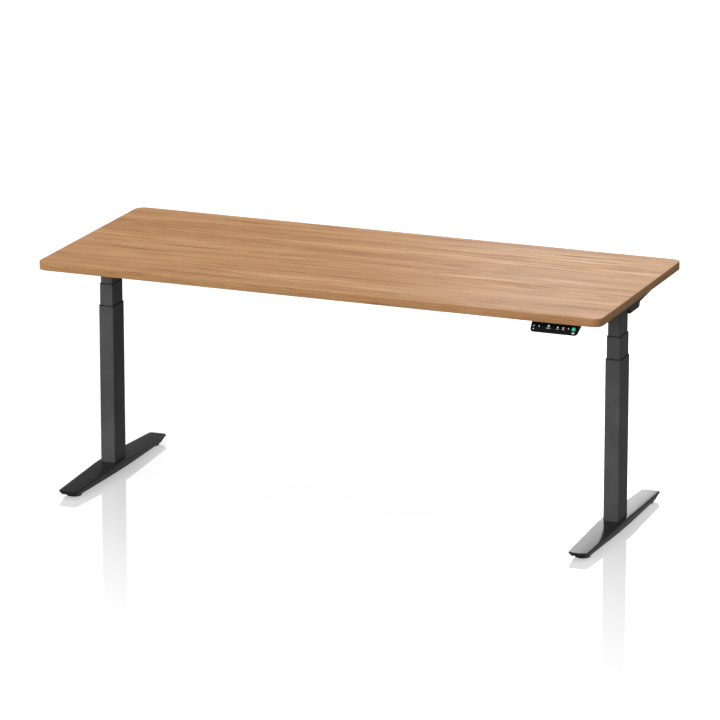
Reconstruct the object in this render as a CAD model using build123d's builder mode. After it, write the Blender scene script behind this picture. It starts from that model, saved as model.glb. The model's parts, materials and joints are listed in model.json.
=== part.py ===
"""Height adjustable standing desk: two three-stage electric lifting columns under one board.

Frame: origin on the floor under the middle of the board, +X along the board's length to the user's
right, +Y away from the user, +Z up. Millimetres. The desk stands at its stored height of 750 mm.
The board travels from 105 below that height to 545 above it, and the middle stages half as far.
"""

from build123d import *
import math
import os

os.makedirs("parts", exist_ok=True)

# ---- driving dimensions -------------------------------------------------------------------------

SIDES = {"left": -1, "right": 1}

# board
TOP_LENGTH = 1800.0
TOP_DEPTH = 750.0
TOP_THICKNESS = 25.0
TOP_HEIGHT = 750.0
CORNER_RADIUS = 30.0
BAND_THICKNESS = 2.0
BAND_ROUND = 1.5
UNDERSIDE = TOP_HEIGHT - TOP_THICKNESS

# columns: rectangular tubes, width along X and depth along Y
COLUMN_X = 825.6
TUBE_WALL = 1.5
STAGE_STEP = 5.0
OUTER_WIDTH, OUTER_DEPTH, OUTER_RADIUS = 50.0, 80.0, 4.5
MIDDLE_WIDTH, MIDDLE_DEPTH, MIDDLE_RADIUS = OUTER_WIDTH - STAGE_STEP, OUTER_DEPTH - STAGE_STEP, 4.0
INNER_WIDTH, INNER_DEPTH, INNER_RADIUS = MIDDLE_WIDTH - STAGE_STEP, MIDDLE_DEPTH - STAGE_STEP, 3.5
OUTER_RIM = 537.5
MIDDLE_RIM = 607.0
COLLAR_HEIGHT = 3.0
COLLAR_SKIRT = 25.0
COLLAR_SETBACK = 0.3
GUIDE_THICKNESS = 0.7
PAD_HEIGHT = 40.0
PRESS_GAP = 0.05

# feet
FOOT_HALF_LENGTH = 342.5
FOOT_TIP_HALF_WIDTH = 29.5
FOOT_MIDDLE_HALF_WIDTH = 36.5
FOOT_TIP_RADIUS = 11.0
FOOT_BOTTOM = 4.5
FOOT_TIP_TOP = 24.5
FOOT_TOP = 34.5
FOOT_FLAT_HALF = 52.0
FOOT_LIP = 5.0
FOOT_LIP_OVERHANG = 1.5
FOOT_DRAFT = 5.5
FOOT_WALL = 3.0
FOOT_UNDERCUT = 30.0
FOOT_TIP_BOTTOM = 15.0
FOOT_BOLT_X, FOOT_BOLT_Y = 14.0, 28.0
CUT_MARGIN = 1.0

# levelling glides
GLIDE_Y = 290.0
GLIDE_RADIUS = 23.5
GLIDE_HEIGHT = 4.2
GLIDE_ROUND = 1.2
STUD_RADIUS = 4.0
STUD_START = 3.7
STUD_END = 23.0
BORE_END = 24.0
HEX_RADIUS, HEX_TOP = 7.0, 6.7
BOSS_RADIUS = 9.0
BOSS_BOTTOM = 8.0
RUNNING_FIT = 0.05

# lifting screws
POST_BLOCK = 12.0
SUPPORT_RADIUS, SUPPORT_BORE = 14.0, 12.5
LOWER_NUT_BOTTOM, LOWER_NUT_SEAT, LOWER_NUT_TOP = 458.0, 482.0, 486.0
HOLLOW_RADIUS, HOLLOW_BORE = 10.0, 6.5
HOLLOW_BOTTOM = 175.0
HEAD_RADIUS, HEAD_BOTTOM, HEAD_TOP = 15.0, 560.0, 588.0
DRIVE_RADIUS = 6.0
DRIVE_BOTTOM, DRIVE_TOP = 278.0, 716.0
MIDDLE_BOTTOM = 104.0
BRIDGE_THICKNESS = 6.0
CARRIER_RADIUS, CARRIER_BORE = 17.0, 15.8
CARRIER_CAP = 4.0
BODY_GAP = 0.3
INNER_BOTTOM = 170.0
INNER_TOP = 676.0

# column heads
HOUSING_PLUG_BOTTOM = 650.0
HOUSING_FRONT, HOUSING_REAR = -34.9, 48.0
HOUSING_CORNER = 3.0
HOUSING_SIDE_GAP = 0.2
SHAFT_HEIGHT = 686.0
GEAR_PITCH_RADIUS = 13.5
PINION_PITCH_RADIUS = 9.0
GEAR_FACE_SHARE = 0.6
GEAR_CAVITY_RADIUS = 17.5
GEAR_CAVITY_DROP = 2.0
GEAR_BACK = 6.0
BEARING_RADIUS, BEARING_WIDTH = 14.0, 8.0
LOWER_BEARING, UPPER_BEARING = 656.0, 707.0
MOTOR_RADIUS = 21.5
MOTOR_END = 122.0
MOTOR_ROUND = 3.0
MOTOR_SHAFT_RADIUS, MOTOR_SHAFT_END = 3.0, 106.0
MOTOR_BORE_END = 108.0
PILOT_RADIUS, PILOT_DEPTH, PILOT_BORE_DEPTH = 11.0, 4.0, 43.0
COVER_FRONT, COVER_REAR, COVER_BOTTOM = 38.5, 131.0, 660.0
COVER_WALL, COVER_RADIUS, COVER_SETBACK = 2.0, 8.0, 8.0
HOUSING_BOLT_HEIGHT = 705.0
HOUSING_BOLTS = (-24.0, 36.0)

# side brackets and cross rails
BRACKET_WALL = 2.5
BRACKET_HALF_LENGTH = 322.0
BRACKET_DEEP = 676.0
BRACKET_DEEP_FRONT, BRACKET_DEEP_REAR = -40.0, 133.0
BRACKET_FRONT_TIP, BRACKET_REAR_TIP = 712.0, 693.0
BRACKET_TIP_RADIUS = 8.0
RAIL_SIZE, RAIL_WALL, RAIL_SLIP = 34.0, 1.5, 0.2
RAIL_TOP = 722.0
RAILS = {"front": -80.0, "rear": 160.0}
RAIL_OVERLAP = 150.0
PLATE_WIDTH, PLATE_HEIGHT, PLATE_THICKNESS = 56.0, 40.0, 3.0
PLATE_BOLT = 22.0

# fasteners
BOLT_RADIUS, BOLT_LENGTH, BOLT_HEAD_RADIUS, BOLT_HEAD = 3.0, 8.5, 5.0, 3.5
SCREW_RADIUS, SCREW_LENGTH, SCREW_HEAD_RADIUS, SCREW_HEAD = 2.1, 19.0, 4.5, 2.5
FOOT_BOLT_RADIUS, FOOT_BOLT_HEAD_RADIUS, FOOT_BOLT_HEAD = 4.0, 6.5, 8.0
FOOT_BOLT_SLACK = 0.25
SCREW_ROWS = (-290.0, -200.0, -110.0, 200.0, 250.0, 300.0)
HEAD_SCREW_HEIGHT = 664.0
HEAD_SCREW_RADIUS, HEAD_SCREW_LENGTH, HEAD_SCREW_HOLE = 2.5, 4.4, 4.5
BOLT_CROWN = 1.5
PILOT_HOLE_SPARE = 0.5

# control box under the board
BOX_X, BOX_Y = 320.0, 25.0
BOX_LENGTH, BOX_DEPTH, BOX_HEIGHT = 240.0, 80.0, 33.5
BOX_WALL = 2.5
BOX_CORNER, BOX_EDGE = 6.0, 2.0
LUG, LUG_CORNER = 14.0, 5.0
PORT_LENGTH, PORT_DEPTH, PORT_HEIGHT = 200.0, 20.0, 24.0
INLET_OFFSET, INLET_WIDTH, INLET_HEIGHT, INLET_DEPTH = -70.0, 26.0, 18.0, 15.0
JACK_OFFSETS = (10.0, 40.0, 70.0)
JACK_WIDTH, JACK_HEIGHT, JACK_DEPTH = 14.0, 10.0, 11.0
INLET_CORNER, JACK_CORNER = 2.5, 1.0
PIN_PITCH, PIN_WIDTH, PIN_HEIGHT, PIN_RISE, PIN_LENGTH = 7.0, 2.0, 4.0, 5.0, 12.0
BOARD_LENGTH, BOARD_DEPTH, BOARD_THICKNESS, BOARD_RISE = 220.0, 50.0, 1.6, 8.0
BOARD_SETBACK = 10.0

# control panel under the front edge
PANEL_X = 755.7
PANEL_WIDTH = 145.0
PANEL_SLANT = 38.0
PANEL_TOP_Y = -351.8
PANEL_LEAN = math.degrees(math.atan2(18.0, 25.0))
PANEL_GLASS = 2.0
PANEL_CORNER = 10.0
PANEL_WALL = 2.0
PANEL_BACK = -326.0
PANEL_LUGS = (-52.0, 28.0)
PANEL_TOP_GAP = 1.5
PANEL_SIDE_INSET = 1.0
PANEL_LOWER_INSET = 2.0
PANEL_LIP_RUN, PANEL_LIP_RISE = 8.0, 1.0
PANEL_REAR_HEIGHT = 12.0
ICON_HEIGHT = 0.15
ARROW_SIDE = 4.4
LIGHT_RADIUS = 6.8

# places worked out from the dimensions above
WEB_BOTTOM = UNDERSIDE - BRACKET_WALL
RAIL_CENTRE = RAIL_TOP - RAIL_SIZE / 2
RAIL_END = COLUMN_X - OUTER_WIDTH / 2
INNER_RAIL_SIZE = RAIL_SIZE - 2 * (RAIL_WALL + RAIL_SLIP)
PLATE_BOLT_HEIGHT = RAIL_TOP - PLATE_HEIGHT / 2
LOCK_POSITIONS = (RAIL_OVERLAP - 60.0, RAIL_OVERLAP - 20.0)
BOX_BOTTOM = WEB_BOTTOM - BOX_HEIGHT
PORT_FACE = BOX_Y + BOX_DEPTH / 2
PORT_CENTRE = BOX_BOTTOM + BOX_HEIGHT / 2
LEAN = math.radians(PANEL_LEAN)
PANEL_FACE = Plane(
    origin=(PANEL_X, PANEL_TOP_Y, UNDERSIDE),
    x_dir=(1, 0, 0),
    z_dir=(0, -math.cos(LEAN), math.sin(LEAN)),
)


# ---- helpers ------------------------------------------------------------------------------------


def save(part, node):
    """Labels one finished piece and writes it as its own STEP file."""
    part.label = node
    export_step(part, f"parts/{node}.step")


def level(x, y, z):
    """A plane parallel to the floor with its origin at that point."""
    return Plane(origin=(x, y, z))


def facing(x, y, z, direction):
    """A plane at that point whose normal is the direction and whose x axis stays level."""
    normal = Vector(*direction)
    across = Vector(0, 1, 0) if abs(normal.X) > abs(normal.Y) else Vector(1, 0, 0)
    return Plane(origin=(x, y, z), x_dir=across, z_dir=normal)


def side_profile(x):
    """The Y-Z plane at x: sketch x is world Y and sketch y is world Z."""
    return Plane(origin=(x, 0, 0), x_dir=(0, 1, 0), z_dir=(1, 0, 0))


def board_outline(plane, inset):
    """The board's plan with rounded corners, drawn inset from its edge."""
    with BuildSketch(plane) as outline:
        RectangleRounded(TOP_LENGTH - 2 * inset, TOP_DEPTH - 2 * inset, CORNER_RADIUS - inset)
    return outline.sketch


def tube(side, width, depth, radius, low, high):
    """One stage of a column: a rounded rectangular tube between two heights."""
    with BuildPart() as stage:
        with BuildSketch(level(side * COLUMN_X, 0, low)):
            RectangleRounded(width, depth, radius)
            RectangleRounded(
                width - 2 * TUBE_WALL, depth - 2 * TUBE_WALL, radius - TUBE_WALL, mode=Mode.SUBTRACT
            )
        extrude(amount=high - low)
    return stage.part


def collar(side, width, depth, radius, rim):
    """The guide ring on a tube's mouth: a flange on the rim and a skirt down inside the tube."""
    bore = 2 * (TUBE_WALL + GUIDE_THICKNESS)
    with BuildPart() as ring:
        with BuildSketch(level(side * COLUMN_X, 0, rim - COLLAR_HEIGHT)):
            RectangleRounded(
                width - 2 * COLLAR_SETBACK, depth - 2 * COLLAR_SETBACK, radius - COLLAR_SETBACK
            )
        extrude(amount=COLLAR_HEIGHT)
        with BuildSketch(level(side * COLUMN_X, 0, rim - COLLAR_HEIGHT)):
            RectangleRounded(width - 2 * TUBE_WALL, depth - 2 * TUBE_WALL, radius - TUBE_WALL)
        extrude(amount=-COLLAR_SKIRT)
        with BuildSketch(level(side * COLUMN_X, 0, rim)):
            RectangleRounded(width - bore, depth - bore, radius - TUBE_WALL - GUIDE_THICKNESS)
        extrude(amount=-(COLLAR_HEIGHT + COLLAR_SKIRT), mode=Mode.SUBTRACT)
    return ring.part


def guide_pads(side, width, depth, radius, low):
    """The sliding band round a tube's lower end, which runs in the next tube out."""
    with BuildPart() as pads:
        with BuildSketch(level(side * COLUMN_X, 0, low)):
            RectangleRounded(
                width + 2 * GUIDE_THICKNESS, depth + 2 * GUIDE_THICKNESS, radius + GUIDE_THICKNESS
            )
            RectangleRounded(width, depth, radius, mode=Mode.SUBTRACT)
        extrude(amount=PAD_HEIGHT)
    return pads.part


# ---- feet, posts and outer tubes ----------------------------------------------------------------


def foot_plan(side, height, inset):
    """The foot seen from above, wider in the middle than at its tips, at one height."""
    tip = FOOT_TIP_HALF_WIDTH - inset
    middle = FOOT_MIDDLE_HALF_WIDTH - inset
    end = FOOT_HALF_LENGTH - inset
    outline_points = [
        (tip, end), (middle, FOOT_FLAT_HALF), (middle, -FOOT_FLAT_HALF), (tip, -end),
        (-tip, -end), (-middle, -FOOT_FLAT_HALF), (-middle, FOOT_FLAT_HALF), (-tip, end),
    ]
    with BuildSketch(level(side * COLUMN_X, 0, height)) as plan:
        Polygon(*outline_points, align=None)
        rows = plan.vertices().group_by(Axis.Y)
        fillet(rows[0] + rows[-1], FOOT_TIP_RADIUS - inset / 2)
    return plan.sketch


def foot_side(side, drop, floor):
    """The foot seen from its side: its sloped top lowered by drop, with undercut tips."""
    with BuildSketch(side_profile(side * COLUMN_X)) as profile:
        Polygon(
            (-FOOT_HALF_LENGTH, FOOT_TIP_TOP - drop),
            (-FOOT_FLAT_HALF, FOOT_TOP - drop),
            (FOOT_FLAT_HALF, FOOT_TOP - drop),
            (FOOT_HALF_LENGTH, FOOT_TIP_TOP - drop),
            (FOOT_HALF_LENGTH, FOOT_TIP_BOTTOM),
            (FOOT_HALF_LENGTH - FOOT_UNDERCUT, floor),
            (FOOT_UNDERCUT - FOOT_HALF_LENGTH, floor),
            (-FOOT_HALF_LENGTH, FOOT_TIP_BOTTOM),
            align=None,
        )
    return profile.sketch


def make_foot(side):
    """A pressed steel foot: a drafted hollow shell with a lip round its top and two glide bosses."""
    reach = 2 * FOOT_MIDDLE_HALF_WIDTH
    with BuildPart() as lip:
        extrude(foot_plan(side, FOOT_BOTTOM, 0.0), amount=FOOT_TOP)
        with BuildSketch(side_profile(side * COLUMN_X)):
            Polygon(
                (-FOOT_HALF_LENGTH - CUT_MARGIN, FOOT_TIP_TOP - FOOT_LIP),
                (-FOOT_HALF_LENGTH - CUT_MARGIN, FOOT_TIP_TOP),
                (-FOOT_HALF_LENGTH, FOOT_TIP_TOP),
                (-FOOT_FLAT_HALF, FOOT_TOP),
                (FOOT_FLAT_HALF, FOOT_TOP),
                (FOOT_HALF_LENGTH, FOOT_TIP_TOP),
                (FOOT_HALF_LENGTH + CUT_MARGIN, FOOT_TIP_TOP),
                (FOOT_HALF_LENGTH + CUT_MARGIN, FOOT_TIP_TOP - FOOT_LIP),
                (FOOT_FLAT_HALF, FOOT_TOP - FOOT_LIP),
                (-FOOT_FLAT_HALF, FOOT_TOP - FOOT_LIP),
                align=None,
            )
        extrude(amount=reach, both=True, mode=Mode.INTERSECT)
    with BuildPart() as hollow:
        wide = foot_plan(side, FOOT_TOP, FOOT_LIP_OVERHANG + FOOT_WALL)
        floor = FOOT_BOTTOM - CUT_MARGIN
        narrow = foot_plan(side, floor, FOOT_DRAFT + FOOT_LIP_OVERHANG + FOOT_WALL)
        loft([narrow.face(), wide.face()])
        extrude(foot_side(side, FOOT_WALL, floor), amount=reach, both=True, mode=Mode.INTERSECT)
    with BuildPart() as foot:
        wide = foot_plan(side, FOOT_TOP, FOOT_LIP_OVERHANG)
        narrow = foot_plan(side, FOOT_BOTTOM, FOOT_DRAFT + FOOT_LIP_OVERHANG)
        loft([narrow.face(), wide.face()])
        extrude(foot_side(side, 0.0, FOOT_BOTTOM), amount=reach, both=True, mode=Mode.INTERSECT)
        add(lip.part)
        add(hollow.part, mode=Mode.SUBTRACT)
        with BuildSketch(level(side * COLUMN_X, 0, BOSS_BOTTOM)):
            with Locations((0, GLIDE_Y), (0, -GLIDE_Y)):
                Circle(BOSS_RADIUS)
        extrude(amount=FOOT_TIP_TOP - BOSS_BOTTOM)
        with BuildSketch(level(side * COLUMN_X, 0, FOOT_BOTTOM)):
            with Locations((0, GLIDE_Y), (0, -GLIDE_Y)):
                Circle(STUD_RADIUS + RUNNING_FIT)
        extrude(amount=BORE_END - FOOT_BOTTOM, mode=Mode.SUBTRACT)
        with BuildSketch(level(side * COLUMN_X, 0, FOOT_TOP)):
            with GridLocations(2 * FOOT_BOLT_X, 2 * FOOT_BOLT_Y, 2, 2):
                Circle(FOOT_BOLT_RADIUS + FOOT_BOLT_SLACK)
        extrude(amount=-2 * FOOT_WALL, mode=Mode.SUBTRACT)
    return foot.part


def make_post(side):
    """The block welded in the outer tube's lower end, with the tube that holds the lower nut."""
    block_top = FOOT_TOP + POST_BLOCK
    inside = 2 * (TUBE_WALL + PRESS_GAP)
    with BuildPart() as post:
        with BuildSketch(level(side * COLUMN_X, 0, FOOT_TOP)):
            RectangleRounded(OUTER_WIDTH - inside, OUTER_DEPTH - inside, OUTER_RADIUS - TUBE_WALL)
            with GridLocations(2 * FOOT_BOLT_X, 2 * FOOT_BOLT_Y, 2, 2):
                Circle(FOOT_BOLT_RADIUS + PRESS_GAP, mode=Mode.SUBTRACT)
        extrude(amount=POST_BLOCK)
        with BuildSketch(level(side * COLUMN_X, 0, block_top)):
            Circle(SUPPORT_RADIUS)
            Circle(SUPPORT_BORE, mode=Mode.SUBTRACT)
        extrude(amount=LOWER_NUT_SEAT - block_top)
    return post.part


def make_lower_nut(side):
    """The flanged nut in the top of the support tube, in which the hollow spindle turns."""
    with BuildPart() as nut:
        with BuildSketch(level(side * COLUMN_X, 0, LOWER_NUT_BOTTOM)):
            Circle(SUPPORT_BORE)
        extrude(amount=LOWER_NUT_SEAT - LOWER_NUT_BOTTOM)
        with BuildSketch(level(side * COLUMN_X, 0, LOWER_NUT_SEAT)):
            Circle(SUPPORT_RADIUS)
        extrude(amount=LOWER_NUT_TOP - LOWER_NUT_SEAT)
        with BuildSketch(level(side * COLUMN_X, 0, LOWER_NUT_BOTTOM)):
            Circle(HOLLOW_RADIUS + RUNNING_FIT)
        extrude(amount=LOWER_NUT_TOP - LOWER_NUT_BOTTOM, mode=Mode.SUBTRACT)
    return nut.part


def make_foot_bolts():
    """Eight socket cap bolts that clamp both feet to their column posts from below."""
    plate_bottom = FOOT_TOP - FOOT_WALL
    with BuildPart() as bolts:
        for side in SIDES.values():
            with BuildSketch(level(side * COLUMN_X, 0, plate_bottom)):
                with GridLocations(2 * FOOT_BOLT_X, 2 * FOOT_BOLT_Y, 2, 2):
                    Circle(FOOT_BOLT_HEAD_RADIUS)
            extrude(amount=-FOOT_BOLT_HEAD)
            with BuildSketch(level(side * COLUMN_X, 0, plate_bottom)):
                with GridLocations(2 * FOOT_BOLT_X, 2 * FOOT_BOLT_Y, 2, 2):
                    Circle(FOOT_BOLT_RADIUS)
            extrude(amount=FOOT_WALL + POST_BLOCK)
            with BuildSketch(level(side * COLUMN_X, 0, plate_bottom - FOOT_BOLT_HEAD)):
                with GridLocations(2 * FOOT_BOLT_X, 2 * FOOT_BOLT_Y, 2, 2):
                    RegularPolygon(FOOT_BOLT_HEAD_RADIUS / 2, 6)
            extrude(amount=FOOT_BOLT_HEAD / 2, mode=Mode.SUBTRACT)
    return bolts.part


def make_leveller(side, end):
    """A levelling glide: a round pad on the floor and a threaded stud up into the foot's boss."""
    centre = (side * COLUMN_X, end * GLIDE_Y)
    with BuildPart() as leveller:
        with BuildSketch(level(*centre, 0)):
            Circle(GLIDE_RADIUS)
        extrude(amount=GLIDE_HEIGHT)
        fillet(leveller.edges().filter_by(GeomType.CIRCLE), GLIDE_ROUND)
        with BuildSketch(level(*centre, STUD_START)):
            Circle(STUD_RADIUS)
        extrude(amount=STUD_END - STUD_START)
        with BuildSketch(level(*centre, STUD_START)):
            RegularPolygon(HEX_RADIUS, 6)
        extrude(amount=HEX_TOP - STUD_START)
    return leveller.part


# ---- the moving stages and the lifting screws ---------------------------------------------------


def make_carrier(side):
    """The bridge in the middle tube's foot, with the capped tube that bears the hollow spindle."""
    bridge_top = MIDDLE_BOTTOM + BRIDGE_THICKNESS
    carrier_top = HEAD_BOTTOM - BODY_GAP
    inside = 2 * (TUBE_WALL + PRESS_GAP)
    with BuildPart() as carrier:
        with BuildSketch(level(side * COLUMN_X, 0, MIDDLE_BOTTOM)):
            RectangleRounded(MIDDLE_WIDTH - inside, MIDDLE_DEPTH - inside, MIDDLE_RADIUS - TUBE_WALL)
        extrude(amount=BRIDGE_THICKNESS)
        with BuildSketch(level(side * COLUMN_X, 0, bridge_top)):
            Circle(CARRIER_RADIUS)
        extrude(amount=carrier_top - bridge_top)
        with BuildSketch(level(side * COLUMN_X, 0, MIDDLE_BOTTOM)):
            Circle(CARRIER_BORE)
        extrude(amount=carrier_top - CARRIER_CAP - MIDDLE_BOTTOM, mode=Mode.SUBTRACT)
        with BuildSketch(level(side * COLUMN_X, 0, carrier_top)):
            Circle(HOLLOW_RADIUS + 2 * BODY_GAP)
        extrude(amount=-2 * CARRIER_CAP, mode=Mode.SUBTRACT)
    return carrier.part


def make_hollow_spindle(side):
    """The screw of the lower stage, with the nut of the upper stage in its head."""
    with BuildPart() as spindle:
        with BuildSketch(level(side * COLUMN_X, 0, HOLLOW_BOTTOM)):
            Circle(HOLLOW_RADIUS)
            Circle(HOLLOW_BORE, mode=Mode.SUBTRACT)
        extrude(amount=HEAD_BOTTOM - HOLLOW_BOTTOM)
        with BuildSketch(level(side * COLUMN_X, 0, HEAD_BOTTOM)):
            Circle(HEAD_RADIUS)
            Circle(DRIVE_RADIUS + RUNNING_FIT, mode=Mode.SUBTRACT)
        extrude(amount=HEAD_TOP - HEAD_BOTTOM)
    return spindle.part


def make_drive_spindle(side):
    """The solid screw that hangs from the gear housing and turns in the hollow spindle's head."""
    with BuildPart() as spindle:
        with BuildSketch(level(side * COLUMN_X, 0, DRIVE_BOTTOM)):
            Circle(DRIVE_RADIUS)
        extrude(amount=DRIVE_TOP - DRIVE_BOTTOM)
        chamfer(spindle.edges().filter_by(GeomType.CIRCLE).sort_by(Axis.Z)[0], 1.0)
    return spindle.part


def make_bevel_gear(side):
    """The gear on the drive spindle, drawn as its pitch cone, just clear of the pinion's."""
    back = SHAFT_HEIGHT + PINION_PITCH_RADIUS + BODY_GAP
    inner_radius = GEAR_PITCH_RADIUS * GEAR_FACE_SHARE
    front = SHAFT_HEIGHT + PINION_PITCH_RADIUS * GEAR_FACE_SHARE + BODY_GAP
    with BuildPart() as gear:
        with BuildSketch(Plane(origin=(side * COLUMN_X, 0, 0), x_dir=(1, 0, 0), z_dir=(0, -1, 0))):
            Polygon(
                (DRIVE_RADIUS, front),
                (inner_radius, front),
                (GEAR_PITCH_RADIUS, back),
                (GEAR_PITCH_RADIUS, back + GEAR_BACK),
                (DRIVE_RADIUS, back + GEAR_BACK),
                align=None,
            )
        revolve(axis=Axis((side * COLUMN_X, 0, 0), (0, 0, 1)))
    return gear.part


def make_bevel_pinion(side):
    """The motor's output pinion and its shaft, on a level axis behind the column."""
    back = GEAR_PITCH_RADIUS + BODY_GAP
    front = GEAR_PITCH_RADIUS * GEAR_FACE_SHARE + BODY_GAP
    inner_radius = PINION_PITCH_RADIUS * GEAR_FACE_SHARE
    with BuildPart() as pinion:
        with BuildSketch(Plane(origin=(side * COLUMN_X, 0, SHAFT_HEIGHT), x_dir=(0, 1, 0), z_dir=(1, 0, 0))):
            Polygon(
                (front, 0),
                (front, inner_radius),
                (back, PINION_PITCH_RADIUS),
                (back + GEAR_BACK, PINION_PITCH_RADIUS),
                (back + GEAR_BACK, MOTOR_SHAFT_RADIUS),
                (MOTOR_SHAFT_END, MOTOR_SHAFT_RADIUS),
                (MOTOR_SHAFT_END, 0),
                align=None,
            )
        revolve(axis=Axis((side * COLUMN_X, 0, SHAFT_HEIGHT), (0, 1, 0)))
    return pinion.part


def make_gear_housing(side):
    """The casting on the inner tube: a plug in the tube, a gear chamber and two bearing seats."""
    inside = 2 * (TUBE_WALL + PRESS_GAP)
    half_width = OUTER_WIDTH / 2 - BRACKET_WALL - HOUSING_SIDE_GAP
    centre_y = (HOUSING_FRONT + HOUSING_REAR) / 2
    with BuildPart() as housing:
        with BuildSketch(level(side * COLUMN_X, 0, HOUSING_PLUG_BOTTOM)):
            RectangleRounded(INNER_WIDTH - inside, INNER_DEPTH - inside, INNER_RADIUS - TUBE_WALL)
        extrude(amount=INNER_TOP - HOUSING_PLUG_BOTTOM)
        with BuildSketch(level(side * COLUMN_X, centre_y, INNER_TOP)):
            RectangleRounded(2 * half_width, HOUSING_REAR - HOUSING_FRONT, HOUSING_CORNER)
        extrude(amount=WEB_BOTTOM - INNER_TOP)
        with BuildSketch(level(side * COLUMN_X, 0, HOUSING_PLUG_BOTTOM)):
            Circle(BEARING_RADIUS)
        extrude(amount=LOWER_BEARING + BEARING_WIDTH - HOUSING_PLUG_BOTTOM, mode=Mode.SUBTRACT)
        with BuildSketch(level(side * COLUMN_X, 0, HOUSING_PLUG_BOTTOM)):
            Circle(DRIVE_RADIUS + CUT_MARGIN)
        extrude(amount=WEB_BOTTOM - HOUSING_PLUG_BOTTOM, mode=Mode.SUBTRACT)
        with BuildSketch(level(side * COLUMN_X, 0, INNER_TOP - GEAR_CAVITY_DROP)):
            Circle(GEAR_CAVITY_RADIUS)
        extrude(amount=UPPER_BEARING - INNER_TOP + GEAR_CAVITY_DROP, mode=Mode.SUBTRACT)
        with BuildSketch(level(side * COLUMN_X, 0, UPPER_BEARING)):
            Circle(BEARING_RADIUS)
        extrude(amount=WEB_BOTTOM - UPPER_BEARING, mode=Mode.SUBTRACT)
        with BuildSketch(facing(side * COLUMN_X, HOUSING_REAR, SHAFT_HEIGHT, (0, -1, 0))):
            Circle(PILOT_RADIUS)
        extrude(amount=PILOT_BORE_DEPTH, mode=Mode.SUBTRACT)
        for cheek in (-1, 1):
            wall_x = side * COLUMN_X + cheek * half_width
            for y in HOUSING_BOLTS:
                with BuildSketch(facing(wall_x, y, HOUSING_BOLT_HEIGHT, (-cheek, 0, 0))):
                    Circle(BOLT_RADIUS + PRESS_GAP)
                extrude(amount=BOLT_LENGTH - BRACKET_WALL, mode=Mode.SUBTRACT)
            with BuildSketch(
                facing(side * COLUMN_X + cheek * INNER_WIDTH / 2, 0, HEAD_SCREW_HEIGHT, (-cheek, 0, 0))
            ):
                Circle(HEAD_SCREW_RADIUS + PRESS_GAP)
            extrude(amount=HEAD_SCREW_HOLE, mode=Mode.SUBTRACT)
    return housing.part


def make_motor(side):
    """The drive motor behind the column, a round can with a pilot boss and a bore for its shaft."""
    with BuildPart() as motor:
        with BuildSketch(facing(side * COLUMN_X, HOUSING_REAR, SHAFT_HEIGHT, (0, 1, 0))):
            Circle(MOTOR_RADIUS)
        extrude(amount=MOTOR_END - HOUSING_REAR)
        fillet(motor.edges().filter_by(GeomType.CIRCLE).sort_by(Axis.Y)[-1], MOTOR_ROUND)
        with BuildSketch(facing(side * COLUMN_X, HOUSING_REAR, SHAFT_HEIGHT, (0, -1, 0))):
            Circle(PILOT_RADIUS)
        extrude(amount=PILOT_DEPTH)
        with BuildSketch(facing(side * COLUMN_X, MOTOR_BORE_END, SHAFT_HEIGHT, (0, -1, 0))):
            Circle(MOTOR_SHAFT_RADIUS + RUNNING_FIT)
        extrude(amount=MOTOR_END, mode=Mode.SUBTRACT)
    return motor.part


def make_motor_cover(side):
    """The tray under the motor, as wide as the bracket, with a rounded lower rear edge."""
    half = OUTER_WIDTH / 2
    with BuildPart() as cover:
        with BuildSketch(side_profile(side * COLUMN_X)) as outer:
            Polygon(
                (COVER_FRONT, BRACKET_DEEP),
                (COVER_FRONT, COVER_BOTTOM),
                (COVER_REAR - COVER_SETBACK, COVER_BOTTOM),
                (COVER_REAR, BRACKET_DEEP),
                align=None,
            )
            fillet(outer.vertices().group_by(Axis.X)[-2], COVER_RADIUS)
        extrude(amount=half, both=True)
        with BuildSketch(side_profile(side * COLUMN_X)) as inner:
            Polygon(
                (COVER_FRONT + COVER_WALL, BRACKET_DEEP + CUT_MARGIN),
                (COVER_FRONT + COVER_WALL, COVER_BOTTOM + COVER_WALL),
                (COVER_REAR - COVER_SETBACK - COVER_WALL, COVER_BOTTOM + COVER_WALL),
                (COVER_REAR - COVER_WALL, BRACKET_DEEP + CUT_MARGIN),
                align=None,
            )
            fillet(inner.vertices().group_by(Axis.X)[-2], COVER_RADIUS - COVER_WALL)
        extrude(amount=half - COVER_WALL, both=True, mode=Mode.SUBTRACT)
    return cover.part


def make_spindle_bearings():
    """The two ball bearings of each drive spindle, drawn as plain rings."""
    with BuildPart() as bearings:
        for side in SIDES.values():
            for height in (LOWER_BEARING, UPPER_BEARING):
                with BuildSketch(level(side * COLUMN_X, 0, height)):
                    Circle(BEARING_RADIUS)
                    Circle(DRIVE_RADIUS + RUNNING_FIT, mode=Mode.SUBTRACT)
                extrude(amount=BEARING_WIDTH)
    return bearings.part


def make_head_screws():
    """Flush screws through each inner tube's sides into its gear housing."""
    with BuildPart() as screws:
        for side in SIDES.values():
            for cheek in (-1, 1):
                face = facing(
                    side * COLUMN_X + cheek * INNER_WIDTH / 2, 0, HEAD_SCREW_HEIGHT, (-cheek, 0, 0)
                )
                with BuildSketch(face):
                    Circle(HEAD_SCREW_RADIUS)
                extrude(amount=HEAD_SCREW_LENGTH)
    return screws.part


def make_inner_tube(side):
    """The inner stage with the two holes for its head screws."""
    blank = tube(side, INNER_WIDTH, INNER_DEPTH, INNER_RADIUS, INNER_BOTTOM, INNER_TOP)
    with BuildPart() as stage:
        add(blank)
        with BuildSketch(facing(side * COLUMN_X - INNER_WIDTH, 0, HEAD_SCREW_HEIGHT, (1, 0, 0))):
            Circle(HEAD_SCREW_RADIUS + PRESS_GAP)
        extrude(amount=2 * INNER_WIDTH, mode=Mode.SUBTRACT)
    return stage.part


# ---- frame under the board ----------------------------------------------------------------------


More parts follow.
